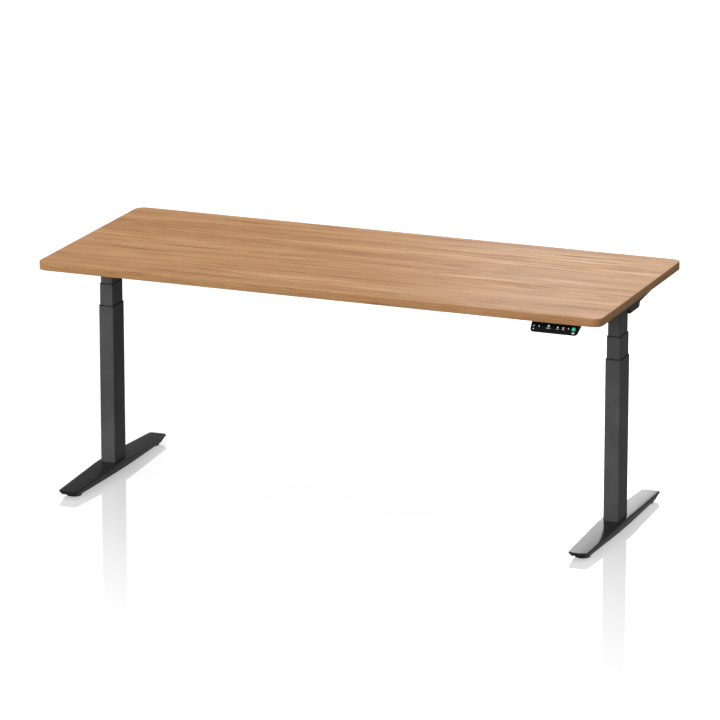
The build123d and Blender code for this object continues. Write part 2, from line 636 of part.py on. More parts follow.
def make_bracket(side):
    """A folded channel under the board, deep over the column and motor and tapered to its ends."""
    half = OUTER_WIDTH / 2
    inner_side = -side * (half - BRACKET_WALL)
    with BuildPart() as bracket:
        with BuildSketch(side_profile(side * COLUMN_X)) as profile:
            Polygon(
                (-BRACKET_HALF_LENGTH, UNDERSIDE),
                (-BRACKET_HALF_LENGTH, BRACKET_FRONT_TIP),
                (BRACKET_DEEP_FRONT, BRACKET_DEEP),
                (BRACKET_DEEP_REAR, BRACKET_DEEP),
                (BRACKET_HALF_LENGTH, BRACKET_REAR_TIP),
                (BRACKET_HALF_LENGTH, UNDERSIDE),
                align=None,
            )
            tips = profile.vertices().group_by(Axis.X)
            fillet([tips[0].sort_by(Axis.Y)[0], tips[-1].sort_by(Axis.Y)[0]], BRACKET_TIP_RADIUS)
        extrude(amount=half, both=True)
        with BuildSketch(level(side * COLUMN_X, 0, WEB_BOTTOM)):
            Rectangle(2 * (half - BRACKET_WALL), 2 * (BRACKET_HALF_LENGTH + CUT_MARGIN))
        extrude(amount=BRACKET_DEEP - WEB_BOTTOM - CUT_MARGIN, mode=Mode.SUBTRACT)
        with BuildSketch(level(side * COLUMN_X, 0, UNDERSIDE)):
            with Locations(*[(0, y) for y in SCREW_ROWS]):
                Circle(SCREW_RADIUS + PRESS_GAP)
        extrude(amount=-2 * BRACKET_WALL, mode=Mode.SUBTRACT)
        for y in HOUSING_BOLTS:
            with BuildSketch(facing(side * COLUMN_X - OUTER_WIDTH, y, HOUSING_BOLT_HEIGHT, (1, 0, 0))):
                Circle(BOLT_RADIUS + PRESS_GAP)
            extrude(amount=2 * OUTER_WIDTH, mode=Mode.SUBTRACT)
        for rail_y in RAILS.values():
            for shift in (-PLATE_BOLT, PLATE_BOLT):
                with BuildSketch(
                    facing(side * COLUMN_X + inner_side, rail_y + shift, PLATE_BOLT_HEIGHT, (-side, 0, 0))
                ):
                    Circle(BOLT_RADIUS + PRESS_GAP)
                extrude(amount=2 * BRACKET_WALL, both=True, mode=Mode.SUBTRACT)
    return bracket.part


def make_rail(side, y, size, reach):
    """Half of a cross rail: a square tube from its end plate on one bracket past the middle."""
    plate_face = side * (RAIL_END - PLATE_THICKNESS)
    with BuildPart() as rail:
        with BuildSketch(facing(side * RAIL_END, y, PLATE_BOLT_HEIGHT, (-side, 0, 0))):
            Rectangle(PLATE_WIDTH, PLATE_HEIGHT)
            with Locations((-PLATE_BOLT, 0), (PLATE_BOLT, 0)):
                Circle(BOLT_RADIUS + PRESS_GAP, mode=Mode.SUBTRACT)
        extrude(amount=PLATE_THICKNESS)
        with BuildSketch(facing(plate_face, y, RAIL_CENTRE, (-side, 0, 0))):
            Rectangle(size, size)
            Rectangle(size - 2 * RAIL_WALL, size - 2 * RAIL_WALL, mode=Mode.SUBTRACT)
        extrude(amount=RAIL_END - PLATE_THICKNESS + reach)
        with BuildSketch(level(0, y, RAIL_CENTRE)):
            with Locations(*[(x, 0) for x in LOCK_POSITIONS]):
                Circle(BOLT_RADIUS + PRESS_GAP)
        extrude(amount=-RAIL_SIZE, mode=Mode.SUBTRACT)
    return rail.part


def bolt_at(x, y, z, direction):
    """One button head bolt: its head on the far side of a face and its shank along direction."""
    along = Vector(*direction)
    with BuildPart() as bolt:
        with BuildSketch(facing(x, y, z, direction)):
            Circle(BOLT_RADIUS)
        extrude(amount=BOLT_LENGTH)
        with BuildSketch(facing(x, y, z, tuple(-along))):
            Circle(BOLT_HEAD_RADIUS)
        extrude(amount=BOLT_HEAD)
        crown = bolt.edges().filter_by(GeomType.CIRCLE).sort_by(Axis((x, y, z), tuple(-along)))[-1]
        fillet(crown, BOLT_CROWN)
    return bolt.part


def make_frame_bolts():
    """All the frame's button head bolts: rail ends, rail locks and gear housings."""
    half = OUTER_WIDTH / 2
    places = []
    for side in SIDES.values():
        for rail_y in RAILS.values():
            for shift in (-PLATE_BOLT, PLATE_BOLT):
                start = side * (RAIL_END - PLATE_THICKNESS)
                places.append((start, rail_y + shift, PLATE_BOLT_HEIGHT, (side, 0, 0)))
        for cheek in (-1, 1):
            for y in HOUSING_BOLTS:
                places.append((side * COLUMN_X + cheek * half, y, HOUSING_BOLT_HEIGHT, (-cheek, 0, 0)))
    for rail_y in RAILS.values():
        for x in LOCK_POSITIONS:
            places.append((x, rail_y, RAIL_TOP - RAIL_SIZE, (0, 0, 1)))
    solids = [bolt_at(*place) for place in places]
    with BuildPart() as bolts:
        add(solids)
    return bolts.part


def wood_screw_places():
    """Where every wood screw enters the board's underside."""
    places = [(side * COLUMN_X, y) for side in SIDES.values() for y in SCREW_ROWS]
    lug_x = BOX_LENGTH / 2 + LUG / 2
    lug_y = BOX_DEPTH / 2 - LUG / 2
    for across in (-1, 1):
        for along in (-1, 1):
            places.append((BOX_X + across * lug_x, BOX_Y + along * lug_y))
    places.extend((PANEL_X + offset, PANEL_BACK + LUG / 2) for offset in PANEL_LUGS)
    return places


def make_wood_screws():
    """The wood screws that hold brackets, control box and control panel under the board."""
    with BuildPart() as screws:
        with BuildSketch(level(0, 0, WEB_BOTTOM)):
            with Locations(*wood_screw_places()):
                Circle(SCREW_HEAD_RADIUS)
        extrude(amount=-SCREW_HEAD)
        with BuildSketch(level(0, 0, WEB_BOTTOM)):
            with Locations(*wood_screw_places()):
                Circle(SCREW_RADIUS)
        extrude(amount=SCREW_LENGTH)
    return screws.part


# ---- board --------------------------------------------------------------------------------------


def make_tabletop():
    """The laminated board without its edge band, with a pilot hole for every wood screw."""
    with BuildPart() as board:
        extrude(board_outline(level(0, 0, UNDERSIDE), BAND_THICKNESS), amount=TOP_THICKNESS)
        with BuildSketch(level(0, 0, UNDERSIDE)):
            with Locations(*wood_screw_places()):
                Circle(SCREW_RADIUS + PRESS_GAP)
        extrude(amount=SCREW_LENGTH - BRACKET_WALL + PILOT_HOLE_SPARE, mode=Mode.SUBTRACT)
    return board.part


def make_edge_band():
    """The band glued round the board, with softened upper and lower edges."""
    with BuildPart() as band:
        extrude(board_outline(level(0, 0, UNDERSIDE), 0), amount=TOP_THICKNESS)
        rims = band.edges().group_by(Axis.Z)
        fillet(rims[0] + rims[-1], BAND_ROUND)
        core = board_outline(level(0, 0, UNDERSIDE), BAND_THICKNESS)
        extrude(core, amount=TOP_THICKNESS, mode=Mode.SUBTRACT)
    return band.part


# ---- control box --------------------------------------------------------------------------------


def make_control_box_shell():
    """The open box that holds the power supply, with a window for the socket block."""
    with BuildPart() as shell:
        with BuildSketch(level(BOX_X, BOX_Y, BOX_BOTTOM)):
            RectangleRounded(BOX_LENGTH, BOX_DEPTH, BOX_CORNER)
        extrude(amount=BOX_HEIGHT)
        fillet(shell.edges().group_by(Axis.Z)[0], BOX_EDGE)
        with BuildSketch(level(BOX_X, BOX_Y, BOX_BOTTOM + BOX_WALL)):
            RectangleRounded(BOX_LENGTH - 2 * BOX_WALL, BOX_DEPTH - 2 * BOX_WALL, BOX_CORNER - BOX_WALL)
        extrude(amount=BOX_HEIGHT, mode=Mode.SUBTRACT)
        with BuildSketch(facing(BOX_X, PORT_FACE, PORT_CENTRE, (0, -1, 0))):
            Rectangle(PORT_LENGTH, PORT_HEIGHT)
        extrude(amount=2 * BOX_WALL, mode=Mode.SUBTRACT)
    return shell.part


def make_control_box_lid():
    """The plate that closes the control box and carries its four fixing lugs."""
    with BuildPart() as lid:
        with BuildSketch(level(BOX_X, BOX_Y, WEB_BOTTOM)):
            RectangleRounded(BOX_LENGTH, BOX_DEPTH, BOX_CORNER)
            with GridLocations(BOX_LENGTH + LUG, BOX_DEPTH - LUG, 2, 2):
                RectangleRounded(2 * LUG, LUG, LUG_CORNER)
            with GridLocations(BOX_LENGTH + LUG, BOX_DEPTH - LUG, 2, 2):
                Circle(SCREW_RADIUS + PRESS_GAP, mode=Mode.SUBTRACT)
        extrude(amount=BRACKET_WALL)
    return lid.part


def make_port_block():
    """The socket block in the box's rear wall: a mains inlet and three cable sockets."""
    with BuildPart() as block:
        with BuildSketch(facing(BOX_X, PORT_FACE, PORT_CENTRE, (0, -1, 0))):
            Rectangle(PORT_LENGTH - 2 * PRESS_GAP, PORT_HEIGHT - 2 * PRESS_GAP)
        extrude(amount=PORT_DEPTH)
        with BuildSketch(facing(BOX_X + INLET_OFFSET, PORT_FACE, PORT_CENTRE, (0, -1, 0))):
            RectangleRounded(INLET_WIDTH, INLET_HEIGHT, INLET_CORNER)
        extrude(amount=INLET_DEPTH, mode=Mode.SUBTRACT)
        for offset in JACK_OFFSETS:
            with BuildSketch(facing(BOX_X + offset, PORT_FACE, PORT_CENTRE, (0, -1, 0))):
                RectangleRounded(JACK_WIDTH, JACK_HEIGHT, JACK_CORNER)
            extrude(amount=JACK_DEPTH, mode=Mode.SUBTRACT)
        pin_wall = PORT_FACE - INLET_DEPTH
        with BuildSketch(facing(BOX_X + INLET_OFFSET, pin_wall, PORT_CENTRE + PIN_RISE, (0, 1, 0))):
            with GridLocations(PIN_PITCH, 0, 3, 1):
                Rectangle(PIN_WIDTH, PIN_HEIGHT)
        extrude(amount=PIN_LENGTH)
    return block.part


def make_control_board():
    """The circuit board with its transformer, two capacitors and a relay."""
    board_top = BOX_BOTTOM + BOARD_RISE
    centre_y = BOX_Y - BOARD_SETBACK
    transformer_x, transformer_length, transformer_depth, transformer_height = -70.0, 44.0, 38.0, 18.0
    capacitor_x, capacitor_pitch, capacitor_radius, capacitor_height = 10.0, 24.0, 8.0, 16.0
    relay_x, relay_length, relay_depth, relay_height = 75.0, 30.0, 20.0, 14.0
    with BuildPart() as board:
        with BuildSketch(level(BOX_X, centre_y, board_top)):
            Rectangle(BOARD_LENGTH, BOARD_DEPTH)
        extrude(amount=-BOARD_THICKNESS)
        with BuildSketch(level(BOX_X + transformer_x, centre_y, board_top)):
            Rectangle(transformer_length, transformer_depth)
        extrude(amount=transformer_height)
        with BuildSketch(level(BOX_X + capacitor_x, centre_y, board_top)):
            with GridLocations(capacitor_pitch, 0, 2, 1):
                Circle(capacitor_radius)
        extrude(amount=capacitor_height)
        with BuildSketch(level(BOX_X + relay_x, centre_y, board_top)):
            Rectangle(relay_length, relay_depth)
        extrude(amount=relay_height)
    return board.part


# ---- control panel ------------------------------------------------------------------------------


def make_panel_glass():
    """The glossy touch face, leaning back towards the board, with rounded lower corners."""
    with BuildPart() as glass:
        with BuildSketch(PANEL_FACE) as face:
            with Locations((0, -(PANEL_SLANT + PANEL_TOP_GAP) / 2)):
                Rectangle(PANEL_WIDTH, PANEL_SLANT - PANEL_TOP_GAP)
            fillet(face.vertices().group_by(Axis.Y)[0], PANEL_CORNER)
        extrude(amount=-PANEL_GLASS)
    return glass.part


def panel_shell_profile(shrink):
    """The housing's section: the slanted back of the glass, a lower lip and a rising underside."""
    run = PANEL_GLASS / math.cos(LEAN)
    top = (PANEL_TOP_Y + run + shrink / 2, UNDERSIDE - shrink)
    length = PANEL_SLANT - PANEL_LOWER_INSET - shrink
    foot = (top[0] - length * math.sin(LEAN), top[1] - length * math.cos(LEAN))
    with BuildSketch(side_profile(PANEL_X)) as profile:
        Polygon(
            top,
            foot,
            (foot[0] + PANEL_LIP_RUN + shrink, foot[1] + PANEL_LIP_RISE + shrink / 2),
            (PANEL_BACK - shrink, UNDERSIDE - PANEL_REAR_HEIGHT + shrink),
            (PANEL_BACK - shrink, UNDERSIDE - shrink),
            align=None,
        )
    return profile.sketch


def make_panel_housing():
    """The moulded body of the control panel, hollow behind its glass, with two fixing lugs."""
    with BuildPart() as housing:
        half = PANEL_WIDTH / 2 - PANEL_SIDE_INSET
        extrude(panel_shell_profile(0.0), amount=half, both=True)
        extrude(panel_shell_profile(PANEL_WALL), amount=half - PANEL_WALL, both=True, mode=Mode.SUBTRACT)
        with BuildSketch(level(PANEL_X, PANEL_BACK + LUG / 2, WEB_BOTTOM)):
            with Locations(*[(offset, 0) for offset in PANEL_LUGS]):
                Rectangle(LUG, LUG)
                Circle(SCREW_RADIUS + PRESS_GAP, mode=Mode.SUBTRACT)
        extrude(amount=BRACKET_WALL)
    return housing.part


def make_panel_icons():
    """Plain marks on the touch face: two arrows, three dots, a figure and a round light."""
    with BuildPart() as icons:
        with BuildSketch(PANEL_FACE):
            with Locations((-63.5, -19.0)):
                Triangle(a=ARROW_SIDE, b=ARROW_SIDE, c=ARROW_SIDE)
            with Locations(Location((-63.5, -28.5), 180)):
                Triangle(a=ARROW_SIDE, b=ARROW_SIDE, c=ARROW_SIDE)
            with Locations((-47.0, -19.0)):
                Circle(1.8)
            with Locations((-18.5, -16.0)):
                Circle(3.0)
            with Locations((-18.5, -23.0)):
                SlotOverall(15.0, 3.6)
            with Locations((10.0, -17.5), (27.0, -18.0)):
                Circle(2.4)
            with Locations((10.0, -23.0), (27.0, -23.5)):
                SlotOverall(9.0, 2.4)
            with Locations((43.0, -18.5)):
                SlotOverall(4.6, 3.0, rotation=90)
            with Locations((59.3, -18.7)):
                Circle(LIGHT_RADIUS)
            with Locations((59.3, -31.2)):
                Ellipse(4.0, 2.2)
        extrude(amount=ICON_HEIGHT)
    return icons.part


# ---- assembly -----------------------------------------------------------------------------------

for name, side in SIDES.items():
    save(make_foot(side), f"{name}_foot")
    save(make_post(side), f"{name}_column_post")
    save(make_lower_nut(side), f"{name}_lower_nut")
    save(
        tube(side, OUTER_WIDTH, OUTER_DEPTH, OUTER_RADIUS, FOOT_TOP, OUTER_RIM - COLLAR_HEIGHT),
        f"{name}_outer_tube",
    )
    save(collar(side, OUTER_WIDTH, OUTER_DEPTH, OUTER_RADIUS, OUTER_RIM), f"{name}_outer_collar")
    save(
        tube(side, MIDDLE_WIDTH, MIDDLE_DEPTH, MIDDLE_RADIUS, MIDDLE_BOTTOM, MIDDLE_RIM - COLLAR_HEIGHT),
        f"{name}_middle_tube",
    )
    save(collar(side, MIDDLE_WIDTH, MIDDLE_DEPTH, MIDDLE_RADIUS, MIDDLE_RIM), f"{name}_middle_collar")
    save(
        guide_pads(side, MIDDLE_WIDTH, MIDDLE_DEPTH, MIDDLE_RADIUS, MIDDLE_BOTTOM),
        f"{name}_middle_pads",
    )
    save(make_carrier(side), f"{name}_carrier")
    save(make_hollow_spindle(side), f"{name}_hollow_spindle")
    save(make_drive_spindle(side), f"{name}_drive_spindle")
    save(make_bevel_gear(side), f"{name}_bevel_gear")
    save(make_bevel_pinion(side), f"{name}_bevel_pinion")
    save(make_inner_tube(side), f"{name}_inner_tube")
    save(guide_pads(side, INNER_WIDTH, INNER_DEPTH, INNER_RADIUS, INNER_BOTTOM), f"{name}_inner_pads")
    save(make_gear_housing(side), f"{name}_gear_housing")
    save(make_motor(side), f"{name}_motor")
    save(make_motor_cover(side), f"{name}_motor_cover")
    save(make_bracket(side), f"{name}_side_bracket")
    for end_name, end in {"front": -1, "rear": 1}.items():
        save(make_leveller(side, end), f"{name}_{end_name}_leveller")

for name, rail_y in RAILS.items():
    save(make_rail(-1, rail_y, RAIL_SIZE, RAIL_OVERLAP), f"{name}_rail_sleeve")
    save(make_rail(1, rail_y, INNER_RAIL_SIZE, RAIL_OVERLAP), f"{name}_rail_slider")

save(make_foot_bolts(), "foot_bolts")
save(make_spindle_bearings(), "spindle_bearings")
save(make_head_screws(), "head_screws")
save(make_frame_bolts(), "frame_bolts")
save(make_wood_screws(), "wood_screws")
save(make_tabletop(), "tabletop")
save(make_edge_band(), "edge_band")
save(make_control_box_shell(), "control_box_shell")
save(make_control_box_lid(), "control_box_lid")
save(make_port_block(), "port_block")
save(make_control_board(), "control_board")
save(make_panel_housing(), "panel_housing")
save(make_panel_glass(), "panel_glass")
save(make_panel_icons(), "panel_icons")
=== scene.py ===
"""Height adjustable standing desk: finishes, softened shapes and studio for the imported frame.

Units are metres, in the frame's own axes: +X along the board to the user's right, +Y away from the
user, +Z up, with the origin on the floor under the middle of the board.
"""

import json
import logging
import math
from dataclasses import dataclass, field
from enum import Enum

import bmesh
import bpy
import numpy as np
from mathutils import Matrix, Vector


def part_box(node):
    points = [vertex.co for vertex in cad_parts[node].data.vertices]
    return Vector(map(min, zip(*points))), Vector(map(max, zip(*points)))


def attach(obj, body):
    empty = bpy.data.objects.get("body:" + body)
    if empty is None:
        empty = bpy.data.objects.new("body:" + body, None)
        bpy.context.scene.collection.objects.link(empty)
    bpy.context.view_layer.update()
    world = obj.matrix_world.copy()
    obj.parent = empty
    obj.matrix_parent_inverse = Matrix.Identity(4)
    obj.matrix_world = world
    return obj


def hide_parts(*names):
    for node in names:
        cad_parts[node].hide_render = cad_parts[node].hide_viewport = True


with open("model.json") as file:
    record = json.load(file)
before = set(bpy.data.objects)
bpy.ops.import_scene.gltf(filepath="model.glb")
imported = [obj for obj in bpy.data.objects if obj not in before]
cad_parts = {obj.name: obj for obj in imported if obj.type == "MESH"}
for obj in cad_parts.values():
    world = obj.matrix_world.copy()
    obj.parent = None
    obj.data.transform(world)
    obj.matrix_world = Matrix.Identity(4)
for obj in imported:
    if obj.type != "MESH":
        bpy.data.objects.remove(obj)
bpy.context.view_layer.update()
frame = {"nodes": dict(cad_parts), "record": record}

LOG = logging.getLogger("standing_desk")
MM = 0.001
TURN = 2.0 * math.pi
DOUBLED = 1e-6
FLAT_ANGLE = math.radians(0.5)
SHARP_ANGLE = math.radians(40.0)

Colour = tuple[float, float, float]


class Side(Enum):
    """The desk's two ends, with the sign of their X."""

    LEFT = -1
    RIGHT = 1

    @property
    def word(self) -> str:
        """The side's name as the frame's nodes spell it."""
        return self.name.lower()


class End(Enum):
    """The two ends of a foot, with the sign of their Y."""

    FRONT = -1
    REAR = 1

    @property
    def word(self) -> str:
        """The end's name as the frame's nodes spell it."""
        return self.name.lower()


class Grain(Enum):
    """Where a wood finish takes its grain direction from."""

    ALONG_BOARD = "object"
    ALONG_BAND = "uv"


# ---- node trees ---------------------------------------------------------------------------------


class Shading:
    """One material's node tree, with short methods for the nodes that the finishes share."""

    def __init__(self, name: str) -> None:
        """Starts an empty tree.

        Args:
            name: The material's name.
        """
        self.material = bpy.data.materials.new(name)
        self.material.use_nodes = True
        self.tree = self.material.node_tree
        self.tree.nodes.clear()
        self.output = self.tree.nodes.new("ShaderNodeOutputMaterial")

    def node(self, kind: str, **settings: object) -> bpy.types.Node:
        """Adds one node.

        Args:
            kind: The node's type name without its "ShaderNode" start.
            settings: Attributes to set on the node.

        Returns:
            The new node.
        """
        made = self.tree.nodes.new(f"ShaderNode{kind}")
        for key, value in settings.items():
            setattr(made, key, value)
        return made

    def feed(self, socket: bpy.types.NodeSocket, value: object) -> None:
        """Links a socket or sets a plain value.

        Args:
            socket: The input to feed.
            value: Another node's output, or a number or tuple.
        """
        if isinstance(value, bpy.types.NodeSocket):
            self.tree.links.new(value, socket)
        else:
            socket.default_value = value

    def coordinates(self, grain: Grain = Grain.ALONG_BOARD) -> bpy.types.NodeSocket:
        """Returns object coordinates, or the piece's own UV map for a banded grain."""
        source = self.node("TexCoord")
        return source.outputs["UV" if grain is Grain.ALONG_BAND else "Object"]

    def stretched(
        self, vector: bpy.types.NodeSocket, scale: Colour, shift: Colour = (0.0, 0.0, 0.0)
    ) -> bpy.types.NodeSocket:
        """Scales and shifts a vector.

        Args:
            vector: The coordinates.
            scale: The factor on each axis, in features per metre.
            shift: An offset added after scaling.

        Returns:
            The mapped coordinates.
        """
        mapping = self.node("Mapping")
        self.feed(mapping.inputs["Vector"], vector)
        mapping.inputs["Scale"].default_value = scale
        mapping.inputs["Location"].default_value = shift
        return mapping.outputs["Vector"]

    def noise(self, vector: bpy.types.NodeSocket, scale: float, detail: float = 2.0, roughness: float = 0.5,
              distortion: float = 0.0) -> bpy.types.NodeSocket:
        """Adds a noise texture.

        Args:
            vector: The coordinates.
            scale: Features per unit of the coordinates.
            detail: How many finer octaves it holds.
            roughness: How strong the finer octaves are.
            distortion: How far the pattern is bent.

        Returns:
            The noise's value, about 0.5 on average.
        """
        texture = self.node("TexNoise")
        self.feed(texture.inputs["Vector"], vector)
        texture.inputs["Scale"].default_value = scale
        texture.inputs["Detail"].default_value = detail
        texture.inputs["Roughness"].default_value = roughness
        texture.inputs["Distortion"].default_value = distortion
        return texture.outputs["Fac"]

    def between(self, value: bpy.types.NodeSocket, low: float, high: float, out_low: float = 0.0,
                out_high: float = 1.0) -> bpy.types.NodeSocket:
        """Maps a value smoothly from one range to another, clamped at both ends.

        Args:
            value: The value to map.
            low: Where the input range starts.
            high: Where the input range ends.
            out_low: The result at and under low.
            out_high: The result at and over high.

        Returns:
            The mapped value.
        """
        ramp = self.node("MapRange", interpolation_type="SMOOTHSTEP")
        self.feed(ramp.inputs["Value"], value)
        for socket, number in zip(ramp.inputs[1:5], (low, high, out_low, out_high)):
            socket.default_value = number
        return ramp.outputs["Result"]

    def math(self, operation: str, first: object, second: object) -> bpy.types.NodeSocket:
        """Adds a two-input math node and returns its value."""
        made = self.node("Math", operation=operation)
        self.feed(made.inputs[0], first)
        self.feed(made.inputs[1], second)
        return made.outputs[0]

    def mix(self, factor: object, first: object, second: object) -> bpy.types.NodeSocket:
        """Mixes two colours.

        Args:
            factor: The share of the second colour.
            first: The colour at factor 0.
            second: The colour at factor 1.

        Returns:
            The mixed colour.
        """
        made = self.node("Mix", data_type="RGBA")
        self.feed(made.inputs[0], factor)
        for socket, value in ((made.inputs[6], first), (made.inputs[7], second)):
            self.feed(socket, (*value, 1.0) if isinstance(value, tuple) else value)
        return made.outputs[2]

    def bump(self, height: bpy.types.NodeSocket, depth: float, strength: float = 1.0) -> bpy.types.NodeSocket:
        """Turns a height into a normal.

        Args:
            height: The height pattern, 0 to 1.
            depth: Its depth in metres.
            strength: How much of it shows.

        Returns:
            The bent normal.
        """
        made = self.node("Bump")
        made.inputs["Distance"].default_value = depth
        made.inputs["Strength"].default_value = strength
        self.feed(made.inputs["Height"], height)
        return made.outputs["Normal"]

    def surface(self, **inputs: object) -> bpy.types.Material:
        """Closes the tree with one principled shader.

        Args:
            inputs: The shader's sockets by name, with spaces as underscores.

        Returns:
            The finished material.
        """
        shader = self.node("BsdfPrincipled")
        for name, value in inputs.items():
            socket = shader.inputs[name.replace("_", " ")]
            self.feed(socket, (*value, 1.0) if isinstance(value, tuple) and len(value) == 3 else value)
        self.tree.links.new(shader.outputs[0], self.output.inputs["Surface"])
        return self.material


# ---- finishes -----------------------------------------------------------------------------------


def scaled(colour: Colour, factor: float) -> Colour:
    """A colour made lighter or darker."""
    return tuple(factor * channel for channel in colour)


@dataclass(frozen=True)
class PowderCoat:
    """Fine-textured powder coat on steel, with faint mottling and a fine orange peel."""

    name: str
    colour: Colour = (0.040, 0.040, 0.042)
    roughness: float = 0.42
    specular: float = 0.5
    speck: float = 1400.0
    depth: float = 0.08 * MM

    def material(self) -> bpy.types.Material:
        """Speckle and orange peel from two noises, cloudiness from a third."""
        shading = Shading(self.name)
        place = shading.coordinates()
        speck = shading.noise(place, self.speck, 2.0, 0.6)
        peel = shading.noise(place, self.speck / 4.0, 2.0, 0.5)
        cloud = shading.noise(place, 9.0, 3.0, 0.6)
        darker, lighter = scaled(self.colour, 0.86), scaled(self.colour, 1.18)
        tone = shading.mix(shading.between(cloud, 0.3, 0.7), darker, lighter)
        grained = shading.mix(shading.between(speck, 0.45, 0.75, 0.0, 0.35), tone, scaled(self.colour, 1.7))
        rough = shading.between(speck, 0.3, 0.7, self.roughness - 0.05, self.roughness + 0.07)
        height = shading.math("ADD", speck, peel)
        return shading.surface(
            Base_Color=grained, Roughness=rough, Specular_IOR_Level=self.specular,
            Normal=shading.bump(height, self.depth, 0.35),
        )


@dataclass(frozen=True)
class Layer:
    """One noise of the wood's figure, drawn out along the grain."""

    along: float
    across: float
    shift: Colour = (0.0, 0.0, 0.0)
    detail: float = 2.0
    roughness: float = 0.6
    distortion: float = 0.0

    def pattern(self, shading: Shading, place: bpy.types.NodeSocket) -> bpy.types.NodeSocket:
        """Adds the layer's noise to a tree and returns its value."""
        drawn_out = shading.stretched(place, (self.along, self.across, self.across), self.shift)
        return shading.noise(drawn_out, 1.0, self.detail, self.roughness, self.distortion)


SWAY = Layer(1.3, 4.0, roughness=0.5)
BANDS = Layer(1.1, 17.0, (3.0, 1.0, 0.0), 3.0, 0.55, 0.3)
STREAKS = Layer(3.2, 82.0, (0.0, 7.0, 2.0), 4.0, 0.62, 0.5)
FLECKS = Layer(9.0, 240.0, (5.0, 0.0, 4.0), 3.0)
FIBRES = Layer(26.0, 1500.0)
PORES = Layer(60.0, 2100.0, (1.0, 2.0, 3.0), 1.0, 0.5)


@dataclass(frozen=True)
class Wood:
    """Laminate with long streaks, bands of tone, fine fibres and short pores."""

    name: str
    dark: Colour
    middle: Colour
    light: Colour
    grain: Grain = Grain.ALONG_BOARD
    roughness: float = 0.38
    specular: float = 0.16
    waver: float = 11.0 * MM
    relief: float = 0.06 * MM

    def material(self) -> bpy.types.Material:
        """Stretched noises: wide bands, streaks a few millimetres wide, fibres and pores."""
        shading = Shading(self.name)
        place = shading.coordinates(self.grain)
        bend = shading.node("CombineXYZ")
        sway = SWAY.pattern(shading, place)
        shading.feed(bend.inputs["Y"], shading.between(sway, 0.25, 0.75, -self.waver, self.waver))
        bent = shading.node("VectorMath", operation="ADD")
        shading.feed(bent.inputs[0], place)
        shading.feed(bent.inputs[1], bend.outputs[0])
        bands, streaks, flecks, fibres, pores = (
            layer.pattern(shading, bent.outputs[0]) for layer in (BANDS, STREAKS, FLECKS, FIBRES, PORES)
        )
        deep, bright, pit = scaled(self.dark, 0.80), scaled(self.light, 1.12), scaled(self.dark, 0.55)
        tone = shading.mix(shading.between(bands, 0.30, 0.72), self.dark, self.light)
        for pattern, low, high, share, colour in (
            (streaks, 0.28, 0.55, 0.75, self.middle),
            (streaks, 0.53, 0.67, 0.80, deep),
            (flecks, 0.54, 0.70, 0.60, bright),
            (fibres, 0.35, 0.75, 0.22, deep),
            (pores, 0.66, 0.76, 0.50, pit),
        ):
            tone = shading.mix(shading.between(pattern, low, high, 0.0, share), tone, colour)
        rough = shading.between(streaks, 0.3, 0.7, self.roughness - 0.04, self.roughness + 0.08)
        height = shading.math("SUBTRACT", fibres, shading.between(pores, 0.62, 0.76, 0.0, 0.9))
        return shading.surface(
            Base_Color=tone, Roughness=rough, Specular_IOR_Level=self.specular,
            Normal=shading.bump(height, self.relief, 0.3),
        )


@dataclass(frozen=True)
class Metal:
    """Bare metal with fine turning or drawing marks round or along it."""

    name: str
    colour: Colour
    roughness: float = 0.28
    marks: Colour = (40.0, 40.0, 1800.0)
    relief: float = 0.03 * MM

    def material(self) -> bpy.types.Material:
        """Marks from one stretched noise, and slow stains from another."""
        shading = Shading(self.name)
        place = shading.coordinates()
        marks = shading.noise(shading.stretched(place, self.marks), 1.0, 3.0, 0.6)
        stain = shading.noise(place, 35.0, 3.0, 0.6)
        tone = shading.mix(shading.between(stain, 0.3, 0.8), self.colour, scaled(self.colour, 0.78))
        rough = shading.between(marks, 0.3, 0.7, self.roughness - 0.07, self.roughness + 0.1)
        return shading.surface(
            Base_Color=tone, Metallic=1.0, Roughness=rough, Normal=shading.bump(marks, self.relief, 0.3)
        )


@dataclass(frozen=True)
class Moulded:
    """Moulded plastic with a fine spark-eroded texture."""

    name: str
    colour: Colour
    roughness: float = 0.5
    texture: float = 900.0
    depth: float = 0.05 * MM

    def material(self) -> bpy.types.Material:
        """Texture from a fine noise, with slightly lighter patches from a broad noise."""
        shading = Shading(self.name)
        place = shading.coordinates()
        grit = shading.noise(place, self.texture, 3.0, 0.65)
        cloud = shading.noise(place, 14.0, 2.0, 0.5)
        tone = shading.mix(shading.between(cloud, 0.3, 0.7, 0.0, 0.6), self.colour, scaled(self.colour, 1.25))
        rough = shading.between(grit, 0.3, 0.7, self.roughness - 0.06, self.roughness + 0.06)
        return shading.surface(
            Base_Color=tone, Roughness=rough, Normal=shading.bump(grit, self.depth, 0.4)
        )


@dataclass(frozen=True)
class TouchFace:
    """High gloss black face with faint smears."""

    name: str
    colour: Colour = (0.004, 0.004, 0.005)

    def material(self) -> bpy.types.Material:
        """Gloss with smears in its roughness."""
        shading = Shading(self.name)
        smears = shading.noise(shading.stretched(shading.coordinates(), (18.0, 60.0, 60.0)), 1.0, 3.0, 0.6)
        tone = shading.mix(shading.between(smears, 0.4, 0.8, 0.0, 0.4), self.colour, scaled(self.colour, 1.8))
        return shading.surface(
            Base_Color=tone, Roughness=shading.between(smears, 0.35, 0.75, 0.05, 0.16), Specular_IOR_Level=0.5
        )


